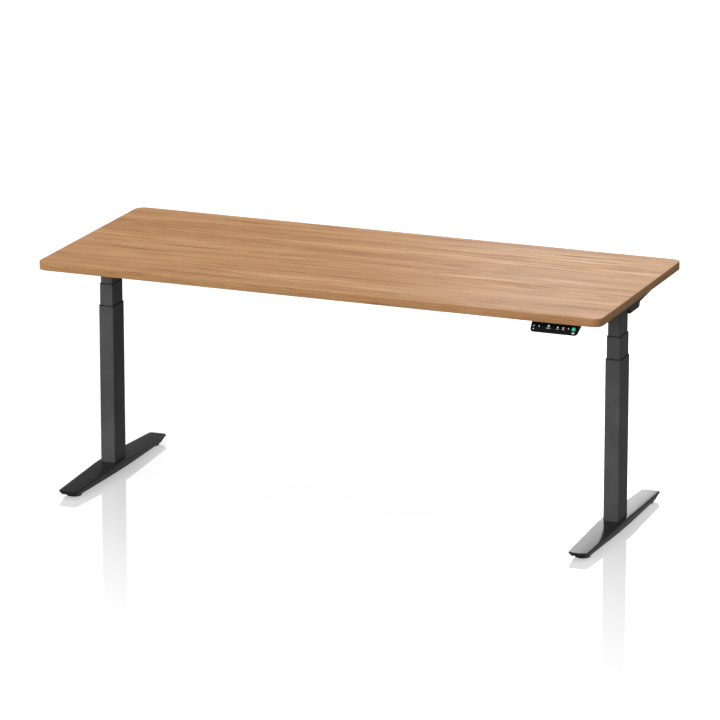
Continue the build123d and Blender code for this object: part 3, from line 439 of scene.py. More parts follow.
@dataclass(frozen=True)
class Lit:
    """A backlit mark, evenly bright with a faint mottling."""

    name: str
    colour: Colour
    glow: float

    def material(self) -> bpy.types.Material:
        """A translucent print that gives off its own light."""
        shading = Shading(self.name)
        mottle = shading.noise(shading.coordinates(), 700.0, 2.0, 0.5)
        tone = shading.mix(shading.between(mottle, 0.3, 0.7), self.colour, scaled(self.colour, 0.9))
        return shading.surface(
            Base_Color=tone, Roughness=0.35, Emission_Color=(*self.colour, 1.0), Emission_Strength=self.glow
        )


@dataclass(frozen=True)
class Finishes:
    """Every finish of the desk, made once."""

    steel: PowderCoat = PowderCoat("black_powder_coat", (0.080, 0.080, 0.081))
    foot_steel: PowderCoat = PowderCoat(
        "foot_powder_coat", (0.015, 0.015, 0.016), 0.16, 0.5, 1900.0, 0.02 * MM
    )
    laminate: Wood = Wood(
        "oak_laminate", (0.375, 0.163, 0.070), (0.565, 0.297, 0.130), (0.780, 0.470, 0.235)
    )
    band: Wood = Wood(
        "oak_edge_band", (0.370, 0.180, 0.078), (0.520, 0.275, 0.122), (0.650, 0.375, 0.175), Grain.ALONG_BAND
    )
    machined: Metal = Metal("machined_steel", (0.56, 0.56, 0.57))
    bronze: Metal = Metal("bronze", (0.55, 0.36, 0.16), 0.32)
    casting: Metal = Metal("cast_aluminium", (0.50, 0.51, 0.52), 0.48, (300.0, 300.0, 300.0))
    zinc: Metal = Metal("zinc_plate", (0.62, 0.62, 0.58), 0.34, (500.0, 500.0, 500.0))
    motor_can: PowderCoat = PowderCoat("motor_enamel", (0.030, 0.030, 0.033), 0.33, 0.5, 700.0)
    oxide: PowderCoat = PowderCoat("black_oxide", (0.022, 0.022, 0.023), 0.38, 0.5, 2500.0)
    acetal: Moulded = Moulded("black_acetal", (0.016, 0.016, 0.017), 0.45)
    case: Moulded = Moulded("black_moulding", (0.022, 0.022, 0.023), 0.5)
    cover: Moulded = Moulded("cover_plastic", (0.075, 0.075, 0.076), 0.45)
    glide: Moulded = Moulded("glide_plastic", (0.012, 0.012, 0.012), 0.55, 500.0)
    circuit: Moulded = Moulded("solder_mask", (0.010, 0.085, 0.035), 0.35, 300.0)
    face: TouchFace = TouchFace("touch_face")
    white_mark: Lit = Lit("white_marks", (0.80, 0.84, 0.84), 0.25)
    grey_mark: Lit = Lit("grey_marks", (0.30, 0.32, 0.33), 0.12)
    green_mark: Lit = Lit("green_light", (0.045, 0.62, 0.33), 0.22)


# ---- surfaces -----------------------------------------------------------------------------------


def rounded_outline(
    width: float, depth: float, radius: float, steps: int
) -> tuple[np.ndarray, np.ndarray]:
    """A rectangle with quarter-circle corners, run anticlockwise.

    Each corner is its centre plus the radius times (cos, sin) of an angle that sweeps a quarter turn.

    Args:
        width: Its size along X.
        depth: Its size along Y.
        radius: The corner radius.
        steps: How many chords each corner has.

    Returns:
        The points and the outward directions, each as an (n, 2) array.
    """
    quarter = np.arange(4)[:, None] * TURN / 4.0
    angle = quarter + np.linspace(0.0, TURN / 4.0, steps + 1)[None, :]
    outward = np.stack((np.cos(angle), np.sin(angle)), axis=-1)
    signs = np.array(((1, 1), (-1, 1), (-1, -1), (1, -1)), float)
    centres = signs * (width / 2.0 - radius, depth / 2.0 - radius)
    return (centres[:, None, :] + radius * outward).reshape(-1, 2), outward.reshape(-1, 2)


def quarter_round(centre: tuple[float, float], radius: float, start: float, steps: int = 4) -> np.ndarray:
    """A quarter circle in a section, from the start angle anticlockwise, as an (n, 2) array."""
    angle = np.radians(start) + np.linspace(0.0, TURN / 4.0, steps + 1)
    return np.array(centre) + radius * np.stack((np.cos(angle), np.sin(angle)), axis=-1)


def carried(section: np.ndarray, outline: np.ndarray, outward: np.ndarray) -> np.ndarray:
    """Carries a section along a level outline.

    A point is the outline's point plus the section's first value along the outward direction, at the
    section's second value as its height.

    Args:
        section: (rows, 2) array of outward distance and height.
        outline: (columns, 2) array of plan points.
        outward: (columns, 2) array of unit directions.

    Returns:
        The (rows, columns, 3) grid.
    """
    plan = outline[None, :, :] + section[:, None, :1] * outward[None, :, :]
    height = np.broadcast_to(section[:, None, 1:], (*plan.shape[:2], 1))
    return np.concatenate((plan, height), axis=-1)


def turned(section: np.ndarray, columns: int, ripple: np.ndarray | None = None) -> np.ndarray:
    """Turns a section of (radius, height) points about the Z axis, with an optional ripple of its radius.

    Args:
        section: (rows, 2) array of radius and height.
        columns: How many points each turn has.
        ripple: (rows, columns) array of factors on the radius.

    Returns:
        The (rows, columns, 3) grid.
    """
    angle = np.linspace(0.0, TURN, columns, endpoint=False)
    radius = np.repeat(section[:, :1], columns, axis=1)
    if ripple is not None:
        radius = radius * ripple
    height = np.repeat(section[:, 1:], columns, axis=1)
    return np.stack((radius * np.cos(angle), radius * np.sin(angle), height), axis=-1)


def ring_quads(rows: int, columns: int, closed: bool) -> np.ndarray:
    """The corner numbers of the quads between neighbouring rings, as an (n, 4) array.

    Args:
        rows: How many rings there are.
        columns: How many points a ring has.
        closed: Whether the last ring joins the first.

    Returns:
        Four point numbers a quad.
    """
    row, column = np.meshgrid(np.arange(rows if closed else rows - 1), np.arange(columns), indexing="ij")
    after_row, after_column = (row + 1) % rows, (column + 1) % columns
    corners = (
        row * columns + column, row * columns + after_column,
        after_row * columns + after_column, after_row * columns + column,
    )
    return np.stack(corners, axis=-1).reshape(-1, 4)


def ring_lengths(rings: np.ndarray, closed: bool) -> np.ndarray:
    """UV places in metres for each quad corner: distance along a ring, and distance across the rings.

    Args:
        rings: (rows, columns, 3) grid.
        closed: Whether the last ring joins the first.

    Returns:
        The (quads * 4, 2) array, in the order of ring_quads.
    """
    wrapped = np.concatenate((rings, rings[:, :1]), axis=1)
    if closed:
        wrapped = np.concatenate((wrapped, wrapped[:1]), axis=0)
    along = np.linalg.norm(np.diff(wrapped[-1], axis=0), axis=-1)
    across = np.linalg.norm(np.diff(wrapped[:, 0], axis=0), axis=-1)
    u = np.concatenate(((0.0,), np.cumsum(along)))
    v = np.concatenate(((0.0,), np.cumsum(across)))
    row, column = np.meshgrid(np.arange(len(v) - 1), np.arange(len(u) - 1), indexing="ij")
    corners = ((row, column), (row, column + 1), (row + 1, column + 1), (row + 1, column))
    return np.stack([np.stack((u[c], v[r]), axis=-1) for r, c in corners], axis=2).reshape(-1, 2)


def skin(name: str, rings: np.ndarray, finish: bpy.types.Material, closed: bool = False, caps: bool = True,
         smooth_angle: float = 38.0) -> bpy.types.Object:
    """Builds one piece from a grid of closed rings.

    Args:
        name: The piece's name.
        rings: (rows, columns, 3) grid of points, each row a closed ring.
        finish: Its material.
        closed: Whether the last ring joins the first.
        caps: Whether the first and last rings are filled, where the rings aren't closed.
        smooth_angle: Edges under this many degrees are shaded smooth.

    Returns:
        The new object, at the origin.
    """
    rows, columns = rings.shape[:2]
    quads = ring_quads(rows, columns, closed)
    faces = quads.tolist()
    if caps and not closed:
        faces.append(list(range(columns))[::-1])
        faces.append(list(range((rows - 1) * columns, rows * columns)))
    mesh = bpy.data.meshes.new(name)
    mesh.from_pydata(rings.reshape(-1, 3).tolist(), [], faces)
    places = mesh.uv_layers.new(name="lengths")
    uv = np.zeros((len(mesh.loops), 2))
    uv[: quads.size] = ring_lengths(rings, closed)
    places.data.foreach_set("uv", uv.ravel())
    return place_mesh(name, mesh, finish, smooth_angle)


def place_mesh(
    name: str, mesh: bpy.types.Mesh, finish: bpy.types.Material, smooth_angle: float
) -> bpy.types.Object:
    """Merges a mesh's doubled points, turns its faces outwards and puts it in the scene.

    Args:
        name: The piece's name.
        mesh: The mesh, in the desk's own frame.
        finish: Its material.
        smooth_angle: Edges under this many degrees are shaded smooth.

    Returns:
        The new object, at the origin.
    """
    work = bmesh.new()
    work.from_mesh(mesh)
    bmesh.ops.remove_doubles(work, verts=work.verts, dist=DOUBLED)
    bmesh.ops.recalc_face_normals(work, faces=work.faces)
    work.to_mesh(mesh)
    work.free()
    mesh.polygons.foreach_set("use_smooth", np.ones(len(mesh.polygons), bool))
    mesh.set_sharp_from_angle(angle=math.radians(smooth_angle))
    mesh.materials.append(finish)
    piece = bpy.data.objects.new(name, mesh)
    bpy.context.scene.collection.objects.link(piece)
    return piece


def settle(piece: bpy.types.Object, body: str, *nodes: str) -> bpy.types.Object:
    """Makes a piece ride on a body and stand for its frame nodes, and logs it.

    Args:
        piece: The finished piece.
        body: The body that it rides on.
        nodes: The nodes that it stands for.

    Returns:
        The same piece.
    """
    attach(piece, body)
    if nodes:
        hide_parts(*nodes)
    LOG.info("%s rides on %s", piece.name, body)
    return piece


def softened(node: str, finish: bpy.types.Material, body: str, width: float) -> bpy.types.Object:
    """A copy of a node's shape with narrow bevels on its sharp edges.

    Args:
        node: The frame node to copy.
        finish: Its material.
        body: The body that it rides on.
        width: The bevel's width.

    Returns:
        The new piece, which stands for the node.
    """
    source = frame["nodes"][node].data
    points = np.zeros(len(source.vertices) * 3)
    source.vertices.foreach_get("co", points)
    source.calc_loop_triangles()
    triangles = np.zeros(len(source.loop_triangles) * 3, int)
    source.loop_triangles.foreach_get("vertices", triangles)
    mesh = bpy.data.meshes.new(f"{node}_finished")
    mesh.from_pydata(points.reshape(-1, 3).tolist(), [], triangles.reshape(-1, 3).tolist())
    work = bmesh.new()
    work.from_mesh(mesh)
    bmesh.ops.remove_doubles(work, verts=work.verts, dist=DOUBLED)
    bmesh.ops.dissolve_limit(work, angle_limit=FLAT_ANGLE, verts=work.verts, edges=work.edges)
    work.to_mesh(mesh)
    work.free()
    mesh.materials.append(finish)
    piece = bpy.data.objects.new(f"{node}_finished", mesh)
    bpy.context.scene.collection.objects.link(piece)
    bevel = piece.modifiers.new("soft_edges", "BEVEL")
    bevel.width = width
    bevel.segments = 2
    bevel.limit_method = "ANGLE"
    bevel.angle_limit = SHARP_ANGLE
    return settle(piece, body, node)


# ---- sub-assemblies -----------------------------------------------------------------------------


@dataclass
class Board:
    """The laminated board and the band round its edge."""

    finishes: dict[str, bpy.types.Material]
    band: float = 2.0 * MM
    round: float = 1.5 * MM
    joint: float = 0.25 * MM
    corner: float = 30.0 * MM
    low: Vector = field(default_factory=lambda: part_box("edge_band")[0])
    high: Vector = field(default_factory=lambda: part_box("edge_band")[1])

    def core_outline(self) -> tuple[np.ndarray, np.ndarray]:
        """The plan of the board inside its band."""
        size = self.high - self.low
        return rounded_outline(size.x - 2 * self.band, size.y - 2 * self.band, self.corner - self.band, 16)

    def make_laminate(self) -> bpy.types.Object:
        """A slab inside the band, with a fine chamfer at the glue joint."""
        bottom, top, joint = self.low.z, self.high.z, self.joint
        section = np.array(((-joint, bottom), (0.0, bottom + joint), (0.0, top - joint), (-joint, top)))
        rings = carried(section, *self.core_outline())
        return settle(skin("laminate_board", rings, self.finishes["laminate"]), "top", "tabletop")

    def make_band(self) -> bpy.types.Object:
        """A section with two rounded arrises, carried round the board."""
        bottom, top, inner = self.low.z, self.high.z, self.band - self.round
        section = np.concatenate((
            ((0.02 * MM, bottom),),
            quarter_round((inner, bottom + self.round), self.round, -90.0),
            quarter_round((inner, top - self.round), self.round, 0.0),
            ((0.02 * MM, top),),
        ))
        rings = carried(section, *self.core_outline())
        return settle(skin("wood_edge_band", rings, self.finishes["band"], closed=True), "top", "edge_band")

    def build(self) -> None:
        """Makes both pieces."""
        self.make_laminate()
        self.make_band()


@dataclass
class Foot:
    """One pressed foot with its bosses and its two levelling glides."""

    side: Side
    finishes: dict[str, bpy.types.Material]
    flat_half: float = 52.0 * MM
    tip_half: float = 29.5 * MM
    tip_top: float = 24.5 * MM
    tip_corner: float = 11.0 * MM
    lip: float = 5.0 * MM
    overhang: float = 1.5 * MM
    draft: float = 5.5 * MM
    undercut: float = 30.0 * MM
    tip_bottom: float = 15.0 * MM
    wall: float = 3.0 * MM
    straight_steps: int = 67
    boss_radius: float = 9.0 * MM
    boss_bottom: float = 8.0 * MM

    def __post_init__(self) -> None:
        """Reads the foot's place and size from the frame."""
        self.node = f"{self.side.word}_foot"
        self.low, self.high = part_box(self.node)
        self.centre_x = (self.low.x + self.high.x) / 2.0
        self.middle_half = (self.high.x - self.low.x) / 2.0
        self.half_length = (self.high.y - self.low.y) / 2.0

    def rise(self, y: np.ndarray) -> np.ndarray:
        """How far along its slope the top is, 0 at a tip and 1 over the flat, eased where they meet."""
        share = (self.half_length - np.abs(y)) / (self.half_length - self.flat_half)
        ease = 0.02
        return -ease * np.logaddexp(-share / ease, -1.0 / ease)

    def rim(self, y: np.ndarray) -> np.ndarray:
        """The height of the lower rim, which turns up under both tips."""
        past = (np.abs(y) - self.half_length + self.undercut) / self.undercut
        return self.low.z + (self.tip_bottom - self.low.z) * np.clip(past, 0.0, 1.0)

    def plan(self, inset_x: float, inset_y: float) -> np.ndarray:
        """The foot's plan, inset: sides that taper from the middle to the tips, with rounded tips.

        The half width is the tip's plus its share of the middle's extra width. The corners are quarter
        circles, and the points run anticlockwise from the front tip.

        Args:
            inset_x: How far the sides are moved in.
            inset_y: How far the tips are moved in.

        Returns:
            The (n, 2) array of plan points about the foot's centre.
        """
        end = self.half_length - inset_y
        corner = max(self.tip_corner - inset_x / 2.0, 2.0 * MM)
        run = np.linspace(corner - end, end - corner, self.straight_steps)
        share = np.clip((self.half_length - np.abs(run)) / (self.half_length - self.flat_half), 0.0, 1.0)
        half = np.maximum(self.tip_half + (self.middle_half - self.tip_half) * share - inset_x, 0.0)
        across = min(corner, half[0])
        bend = np.linspace(-TURN / 4.0, 0.0, 7)[:-1]
        arc_x = half[0] - across + across * np.cos(bend)
        arc_y = corner - end + corner * np.sin(bend)
        right_x = np.concatenate((arc_x, half, arc_x[::-1]))
        right_y = np.concatenate((arc_y, run, -arc_y[::-1]))
        both_x = np.concatenate((right_x, -right_x[::-1]))
        both_y = np.concatenate((right_y, right_y[::-1]))
        return np.stack((both_x, both_y), -1)

    def make_shell(self) -> bpy.types.Object:
        """Rings from the ceiling inside, down and round the lower rim, up the drafted wall and over the lip.

        Each ring is the plan at its own inset. Its height is measured from the sloped top or from the rim.
        """
        wall_inset = self.overhang + self.wall
        tip_draft = 0.65 * self.draft
        sloped, rimmed = True, False
        rings = (
            (self.middle_half, wall_inset, sloped, -self.wall),
            (wall_inset + 1.0 * MM, wall_inset + 1.0 * MM, sloped, -self.wall),
            (wall_inset, wall_inset, sloped, -self.wall - 1.0 * MM),
            (self.draft + wall_inset, tip_draft + wall_inset, rimmed, 0.0),
            (self.draft + self.overhang + 0.5 * MM, tip_draft + self.overhang + 0.5 * MM, rimmed, 0.0),
            (self.draft + self.overhang - 0.2 * MM, tip_draft + self.overhang - 0.2 * MM, rimmed, 0.9 * MM),
            (self.overhang, self.overhang, sloped, -self.lip),
            (0.4 * MM, 0.4 * MM, sloped, -self.lip),
            (0.0, 0.0, sloped, 0.5 * MM - self.lip),
            (0.0, 0.0, sloped, -1.6 * MM),
            (0.25 * MM, 0.25 * MM, sloped, -0.7 * MM),
            (0.8 * MM, 0.8 * MM, sloped, -0.2 * MM),
            (1.7 * MM, 1.7 * MM, sloped, 0.0),
            (self.middle_half, 2.6 * MM, sloped, 0.0),
        )
        grid = []
        for inset_x, inset_y, follows_top, height in rings:
            flat = self.plan(inset_x, inset_y)
            top = self.tip_top + (self.high.z - self.tip_top) * self.rise(flat[:, 1])
            z = height + (np.minimum(top, self.high.z) if follows_top else self.rim(flat[:, 1]))
            grid.append(np.column_stack((flat[:, 0] + self.centre_x, flat[:, 1], z)))
        shell = skin(f"{self.side.word}_foot_shell", np.array(grid), self.finishes["foot_steel"], caps=False)
        return settle(shell, "base", self.node)

    def make_boss(self, end: End) -> bpy.types.Object:
        """A ring under the foot that the glide's stud screws into."""
        low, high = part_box(f"{self.side.word}_{end.word}_leveller")
        centre = (self.centre_x, (low.y + high.y) / 2.0, 0.0)
        bore = 4.1 * MM
        top = self.tip_top + (self.high.z - self.tip_top) * float(self.rise(np.array(centre[1])))
        ceiling = top - self.wall
        bottom, radius, soft = self.boss_bottom, self.boss_radius, 0.6 * MM
        section = np.array((
            (bore, ceiling), (bore, bottom + soft), (bore + soft, bottom), (radius - soft, bottom),
            (radius, bottom + soft), (radius, ceiling),
        ))
        rings = turned(section, 40) + centre
        name = f"{self.side.word}_{end.word}_glide_boss"
        return settle(skin(name, rings, self.finishes["foot_steel"], closed=True), "base")

    def build(self) -> None:
        """Makes the shell, its bosses and its glides."""
        self.make_shell()
        for end in End:
            self.make_boss(end)
            Glide(self.side, end, self.finishes).build()


@dataclass
class Glide:
    """One levelling glide: a ribbed pad, a hexagon and a stud."""

    side: Side
    end: End
    finishes: dict[str, bpy.types.Material]
    thickness: float = 4.2 * MM
    round: float = 1.2 * MM
    ribs: int = 36
    hexagon: float = 7.0 * MM
    hexagon_top: float = 6.7 * MM
    stud: float = 4.0 * MM

    def __post_init__(self) -> None:
        """Reads the glide's place from the frame."""
        self.node = f"{self.side.word}_{self.end.word}_leveller"
        self.body = f"{self.side.word}_{self.end.word}_glide"
        self.low, self.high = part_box(self.node)
        self.radius = (self.high.x - self.low.x) / 2.0
        self.centre = ((self.low.x + self.high.x) / 2.0, (self.low.y + self.high.y) / 2.0, 0.0)

    def make_pad(self) -> bpy.types.Object:
        """A disc with rounded rims, its side rippled by a cosine of the angle into shallow ribs."""
        section = np.concatenate((
            ((0.0, self.low.z),),
            quarter_round((self.radius - self.round, self.low.z + self.round), self.round, -90.0),
            quarter_round((self.radius - self.round, self.thickness - self.round), self.round, 0.0),
            ((self.hexagon, self.thickness), (0.0, self.thickness)),
        ))
        columns = 4 * self.ribs
        angle = np.linspace(0.0, TURN, columns, endpoint=False)
        depth = np.where(section[:, 0] > self.radius - 0.8 * self.round, 0.012, 0.0)
        ripple = 1.0 - depth[:, None] * (0.5 + 0.5 * np.cos(self.ribs * angle))[None, :]
        rings = turned(section, columns, ripple) + self.centre
        name = f"{self.node}_pad"
        return settle(skin(name, rings, self.finishes["glide"], caps=False), self.body, self.node)

    def make_stud(self) -> bpy.types.Object:
        """A threaded stud, its radius a triangle wave of its height."""
        pitch, start = 1.25 * MM, self.hexagon_top - 0.5 * MM
        height = np.linspace(start, self.high.z, 6 * int((self.high.z - start) / pitch))
        wave = 2.0 * np.abs((height / pitch) % 1.0 - 0.5)
        section = np.stack((self.stud - 0.35 * MM * wave, height), axis=-1)
        rings = turned(section, 24) + self.centre
        return settle(skin(f"{self.node}_stud", rings, self.finishes["zinc"]), self.body)

    def make_hexagon(self) -> bpy.types.Object:
        """The hexagon for a spanner, with chamfered corners."""
        bottom, soft = self.thickness - 0.3 * MM, 0.3 * MM
        section = np.array((
            (self.hexagon, bottom),
            (self.hexagon, self.hexagon_top - soft),
            (self.hexagon - soft, self.hexagon_top),
        ))
        rings = turned(section, 6) + self.centre
        nut = skin(f"{self.node}_hexagon", rings, self.finishes["zinc"], smooth_angle=20.0)
        return settle(nut, self.body)

    def build(self) -> None:
        """Makes the three pieces."""
        self.make_pad()
        self.make_stud()
        self.make_hexagon()


@dataclass
class Column:
    """The two guide collars of one telescopic column, whose tubes and screws keep their own shapes."""

    side: Side
    finishes: dict[str, bpy.types.Material]
    tube_wall: float = 1.5 * MM
    guide: float = 0.7 * MM
    flange: float = 3.0 * MM
    setback: float = 0.3 * MM
    round: float = 0.8 * MM
    outer_corner: float = 4.5 * MM
    middle_corner: float = 4.0 * MM

    def make_collar(self, stage: str, body: str, corner: float) -> bpy.types.Object:
        """A collar's section, a flange with a rounded rim over a thin skirt, carried round its tube.

        Args:
            stage: The tube's name, outer or middle.
            body: The body that the collar rides on.
            corner: The tube's corner radius.

        Returns:
            The collar.
        """
        node = f"{self.side.word}_{stage}_collar"
        tube_low, tube_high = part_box(f"{self.side.word}_{stage}_tube")
        low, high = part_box(node)
        bore = -self.tube_wall - self.guide
        flange_bottom = high.z - self.flange
        section = np.concatenate((
            ((-self.tube_wall, low.z), (-self.tube_wall, flange_bottom), (-self.setback, flange_bottom)),
            quarter_round((-self.setback - self.round, high.z - self.round), self.round, 0.0),
            ((bore + 0.3 * MM, high.z), (bore, high.z - 0.3 * MM), (bore, low.z)),
        ))
        outline, outward = rounded_outline(tube_high.x - tube_low.x, tube_high.y - tube_low.y, corner, 8)
        rings = carried(section, outline, outward) + ((tube_low.x + tube_high.x) / 2.0, 0.0, 0.0)
        return settle(skin(f"{node}_ring", rings, self.finishes["acetal"], closed=True), body, node)

    def build(self) -> None:
        """Makes both collars."""
        self.make_collar("outer", "base", self.outer_corner)
        self.make_collar("middle", f"{self.side.word}_middle", self.middle_corner)


@dataclass
class UnderFrame:
    """The brackets, covers, rails and control box under the board, with softened edges."""

    finishes: dict[str, bpy.types.Material]

    def build(self) -> None:
        """Softens each folded or moulded piece."""
        for side in Side:
            softened(f"{side.word}_side_bracket", self.finishes["steel"], "top", 1.0 * MM)
            softened(f"{side.word}_motor_cover", self.finishes["cover"], "top", 0.6 * MM)
        for row in ("front", "rear"):
            for half in ("sleeve", "slider"):
                softened(f"{row}_rail_{half}", self.finishes["steel"], "top", 0.7 * MM)
        softened("control_box_lid", self.finishes["steel"], "top", 0.5 * MM)
        softened("port_block", self.finishes["case"], "top", 0.3 * MM)


@dataclass
class ControlPanel:
    """The touch panel's marks, laid on its slanted face."""

    finishes: dict[str, bpy.types.Material]
    lean: float = math.atan2(18.0, 25.0)
    height: float = 0.15 * MM

    def __post_init__(self) -> None:
        """Finds the face's upper edge from the glass in the frame.

        The glass is a slab at the lean, so its outer upper corner stands behind its lowest outer corner by
        the slant times the lean's sine, and above it by the slant times the cosine.
        """
        low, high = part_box("panel_glass")
        thickness = 2.0 * MM
        slant = (high.z - low.z - thickness * math.sin(self.lean)) / math.cos(self.lean)
        self.centre_x = (low.x + high.x) / 2.0
        self.down = np.array((0.0, -math.sin(self.lean), -math.cos(self.lean)))
        self.out = np.array((0.0, -math.cos(self.lean), math.sin(self.lean)))
        self.edge = np.array((self.centre_x, low.y + slant * math.sin(self.lean), high.z))
        self.edge_drop = 1.5 * MM

    def place(self, across: np.ndarray, down: np.ndarray, lift: float) -> np.ndarray:
        """Points on the face, from the distance across it, down its slant and out from it."""
        flat = self.edge + across[..., None] * np.array((1.0, 0.0, 0.0))
        return flat + (down - self.edge_drop)[..., None] * self.down + lift * self.out

    def make_mark(self, name: str, finish: str, outline: np.ndarray) -> bpy.types.Object:
        """Raises one mark from the face.

        Args:
            name: The piece's name.
            finish: The finish's name.
            outline: (n, 2) array in millimetres: across from the panel's centre, and down its slant.

        Returns:
            The mark, a thin plate with a narrow bevel.
        """
        across, down = outline[:, 0] * MM, outline[:, 1] * MM
        inner = outline.mean(axis=0) * MM
        shrink = 0.94
        rings = np.stack((
            self.place(across, down, 0.0),
            self.place(across, down, 0.8 * self.height),
            self.place(
                inner[0] + shrink * (across - inner[0]), inner[1] + shrink * (down - inner[1]), self.height
            ),
        ))
        return settle(skin(name, rings, self.finishes[finish], smooth_angle=20.0), "top")

    def build(self) -> None:
        """Lays out the marks: arrows, dots, a figure, two memory keys and a round light."""
        circle = np.linspace(0.0, TURN, 32, endpoint=False)
        disc = np.stack((np.cos(circle), np.sin(circle)), axis=-1)
        arrow = disc[[24, 3, 13]] * 2.5
        slot = np.sign(disc) * (1.0, 0.0) + disc
        plans = {
            "up_mark": ("white", arrow * (1.0, 1.0) + (-63.5, 19.0)),
            "down_mark": ("white", arrow * (1.0, -1.0) + (-63.5, 28.5)),
            "lock_mark": ("white", 1.8 * disc + (-47.0, 19.0)),
            "figure_head": ("white", 3.0 * disc + (-18.5, 16.0)),
            "figure_shoulders": ("grey", slot * (3.6, 1.8) + (-18.5, 23.0)),
            "first_memory_mark": ("white", 2.4 * disc + (10.0, 17.5)),
            "first_memory_line": ("grey", slot * (2.2, 1.2) + (10.0, 23.0)),
            "second_memory_mark": ("white", 2.4 * disc + (27.0, 18.0)),
            "second_memory_line": ("grey", slot * (2.2, 1.2) + (27.0, 23.5)),
            "third_memory_mark": ("white", disc * (1.5, 2.3) + (43.0, 18.5)),
            "green_light": ("green", 5.9 * disc + (59.0, 18.9)),
            "light_mark": ("white", disc * (4.0, 2.2) + (59.3, 31.2)),
        }
        for name, (colour, outline) in plans.items():
            piece = self.make_mark(name, f"{colour}_mark", outline)
            if name == "green_light":
                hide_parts("panel_icons")


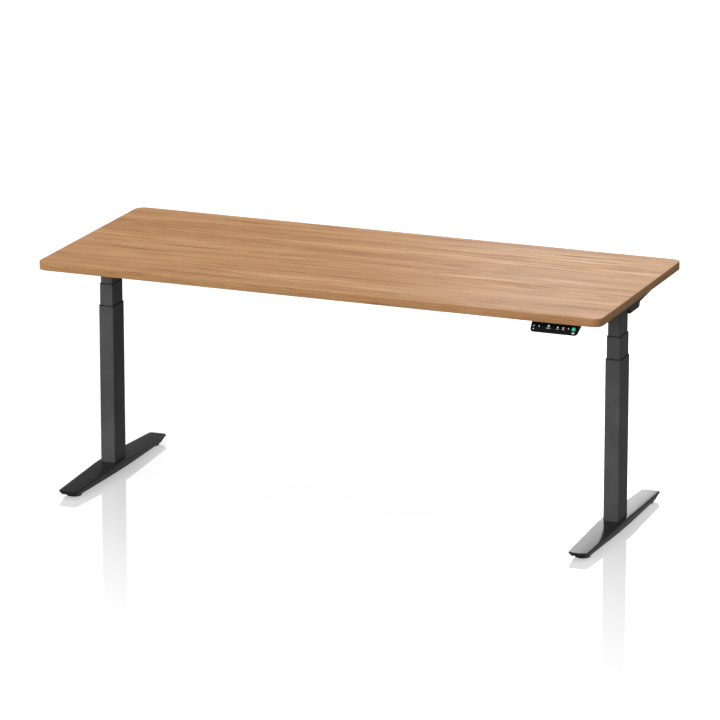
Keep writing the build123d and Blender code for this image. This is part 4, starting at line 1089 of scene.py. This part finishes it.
@dataclass
class Studio:
    """The camera, the floor and the light."""

    target_back: Colour = (0.3593, -0.8936, 0.2690)
    camera_place: Colour = (5.48804, -13.64500, 4.54682)
    lens: float = 251.67
    floor_half: float = 60.0
    floor_diffuse: float = 0.5
    floor_glow: float = 0.80
    mirror_share: float = 0.43
    mirror_fade: float = -0.42
    sky_fill: float = 0.17
    sky_seen: float = 1.05

    def make_camera(self) -> None:
        """A long lens from the front right, a little above the board."""
        lens = bpy.data.cameras.new("studio_camera")
        lens.lens = self.lens
        lens.sensor_width = 36.0
        lens.clip_end = 400.0
        camera = bpy.data.objects.new("studio_camera", lens)
        camera.location = self.camera_place
        camera.rotation_euler = (-Vector(self.target_back)).to_track_quat("-Z", "Y").to_euler()
        bpy.context.scene.collection.objects.link(camera)
        bpy.context.scene.camera = camera

    def floor_finish(self) -> bpy.types.Material:
        """White, with a mirror that fades with the distance from the nearer foot."""
        shading = Shading("studio_floor")
        place = shading.node("SeparateXYZ")
        shading.feed(place.inputs[0], shading.coordinates())
        foot_low, foot_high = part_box("right_foot")
        column_x = foot_low.x + (foot_high.x - foot_low.x) / 2.0
        from_column = shading.math("SUBTRACT", shading.math("ABSOLUTE", place.outputs[0], 0.0), column_x)
        square = shading.math(
            "ADD", shading.math("POWER", from_column, 2.0), shading.math("POWER", place.outputs[1], 2.0)
        )
        distance = shading.math("SQRT", square, 0.0)
        faded = shading.math("EXPONENT", shading.math("MULTIPLY", distance, self.mirror_fade), 0.0)
        share = shading.math("MULTIPLY", faded, self.mirror_share)
        matt = shading.node("BsdfDiffuse")
        matt.inputs["Color"].default_value = (*(self.floor_diffuse,) * 3, 1.0)
        glow = shading.node("Emission")
        glow.inputs["Strength"].default_value = self.floor_glow
        white = shading.node("AddShader")
        mirror = shading.node("BsdfGlossy")
        mirror.inputs["Roughness"].default_value = 0.0
        blend = shading.node("MixShader")
        links = shading.tree.links
        links.new(matt.outputs[0], white.inputs[0])
        links.new(glow.outputs[0], white.inputs[1])
        links.new(share, blend.inputs[0])
        links.new(white.outputs[0], blend.inputs[1])
        links.new(mirror.outputs[0], blend.inputs[2])
        links.new(blend.outputs[0], shading.output.inputs["Surface"])
        return shading.material

    def make_floor(self) -> None:
        """A wide level floor, which gives no bounce of its own."""
        half = self.floor_half
        corners = [(-half, -half, 0.0), (half, -half, 0.0), (half, half, 0.0), (-half, half, 0.0)]
        mesh = bpy.data.meshes.new("studio_floor")
        mesh.from_pydata(corners, [], [(0, 1, 2, 3)])
        mesh.materials.append(self.floor_finish())
        floor = bpy.data.objects.new("studio_floor", mesh)
        floor.visible_diffuse = False
        floor.visible_glossy = False
        bpy.context.scene.collection.objects.link(floor)

    def make_sky(self) -> None:
        """White all round to the eye and to the floor's mirror, and a dim even fill for the object."""
        world = bpy.data.worlds.new("studio_sky")
        world.use_nodes = True
        tree = world.node_tree
        tree.nodes.clear()
        path = tree.nodes.new("ShaderNodeLightPath")
        seen = tree.nodes.new("ShaderNodeMath")
        seen.operation = "MAXIMUM"
        strength = tree.nodes.new("ShaderNodeMapRange")
        strength.inputs["To Min"].default_value = self.sky_fill
        strength.inputs["To Max"].default_value = self.sky_seen
        background = tree.nodes.new("ShaderNodeBackground")
        background.inputs["Color"].default_value = (1.0, 1.0, 1.0, 1.0)
        output = tree.nodes.new("ShaderNodeOutputWorld")
        tree.links.new(path.outputs["Is Camera Ray"], seen.inputs[0])
        tree.links.new(path.outputs["Is Singular Ray"], seen.inputs[1])
        tree.links.new(seen.outputs[0], strength.inputs["Value"])
        tree.links.new(strength.outputs[0], background.inputs["Strength"])
        tree.links.new(background.outputs[0], output.inputs["Surface"])
        bpy.context.scene.world = world

    def make_sun(self, name: str, towards: Colour, strength: float, angle: float) -> None:
        """A soft distant light, which glossy surfaces don't show.

        Args:
            name: Its name.
            towards: The direction from the desk to the light.
            strength: Its strength, where pi lights a white surface to 1.
            angle: How wide it is, in degrees.
        """
        light = bpy.data.lights.new(name, "SUN")
        light.energy = strength
        light.angle = math.radians(angle)
        sun = bpy.data.objects.new(name, light)
        sun.rotation_euler = Vector(towards).to_track_quat("Z", "Y").to_euler()
        sun.visible_glossy = False
        bpy.context.scene.collection.objects.link(sun)

    def make_panel(
        self, name: str, place: Colour, aim: Colour, size: tuple[float, float], power: float
    ) -> None:
        """A rectangular soft box.

        Args:
            name: Its name.
            place: Its centre.
            aim: The point that it faces.
            size: Its width and height.
            power: Its power in watts.
        """
        light = bpy.data.lights.new(name, "AREA")
        light.shape = "RECTANGLE"
        light.size, light.size_y = size
        light.energy = power
        panel = bpy.data.objects.new(name, light)
        panel.location = place
        panel.rotation_euler = (Vector(place) - Vector(aim)).to_track_quat("Z", "Y").to_euler()
        panel.visible_camera = False
        bpy.context.scene.collection.objects.link(panel)

    def build(self) -> None:
        """Sets up everything round the desk."""
        bpy.context.scene.view_settings.view_transform = "Standard"
        self.make_camera()
        self.make_floor()
        self.make_sky()
        self.make_sun("key_light", (-0.40, -0.90, 0.15), 2.6, 50.0)
        self.make_sun("overhead_light", (0.0, 0.1, 1.0), 2.15, 100.0)
        self.make_panel("rear_soft_box", (-1.15, 5.36, 1.7), (0.0, 0.0, 0.5), (1.2, 2.4), 20.0)


NODE_FINISHES = {
    "black_steel": "steel",
    "bare_steel": "machined",
    "bronze": "bronze",
    "guide_plastic": "acetal",
    "cast_aluminium": "casting",
    "motor_can": "motor_can",
    "black_plastic": "case",
    "glide_plastic": "glide",
    "black_fastener": "oxide",
    "zinc_fastener": "zinc",
    "circuit_board": "circuit",
    "touch_face": "face",
    "icon_white": "white_mark",
    "wood_laminate": "laminate",
    "wood_edge": "band",
}


def dress_nodes(finishes: dict[str, bpy.types.Material]) -> None:
    """Gives every frame node its finish, from the record's material slot.

    Args:
        finishes: The materials by name.
    """
    for row in frame["record"]["subparts"]:
        materials = frame["nodes"][row["node"]].data.materials
        finish = finishes[NODE_FINISHES[row["material_slot"]]]
        for index in range(len(materials)):
            materials[index] = finish
        if not materials:
            materials.append(finish)


def main() -> None:
    """Builds the studio and the desk."""
    logging.basicConfig(level=logging.INFO, format="%(name)s: %(message)s")
    finishes = {name: getattr(Finishes, name).material() for name in Finishes.__dataclass_fields__}
    Studio().build()
    dress_nodes(finishes)
    Board(finishes).build()
    for side in Side:
        Foot(side, finishes).build()
        Column(side, finishes).build()
    UnderFrame(finishes).build()
    ControlPanel(finishes).build()


if __name__ == "__main__":
    main()
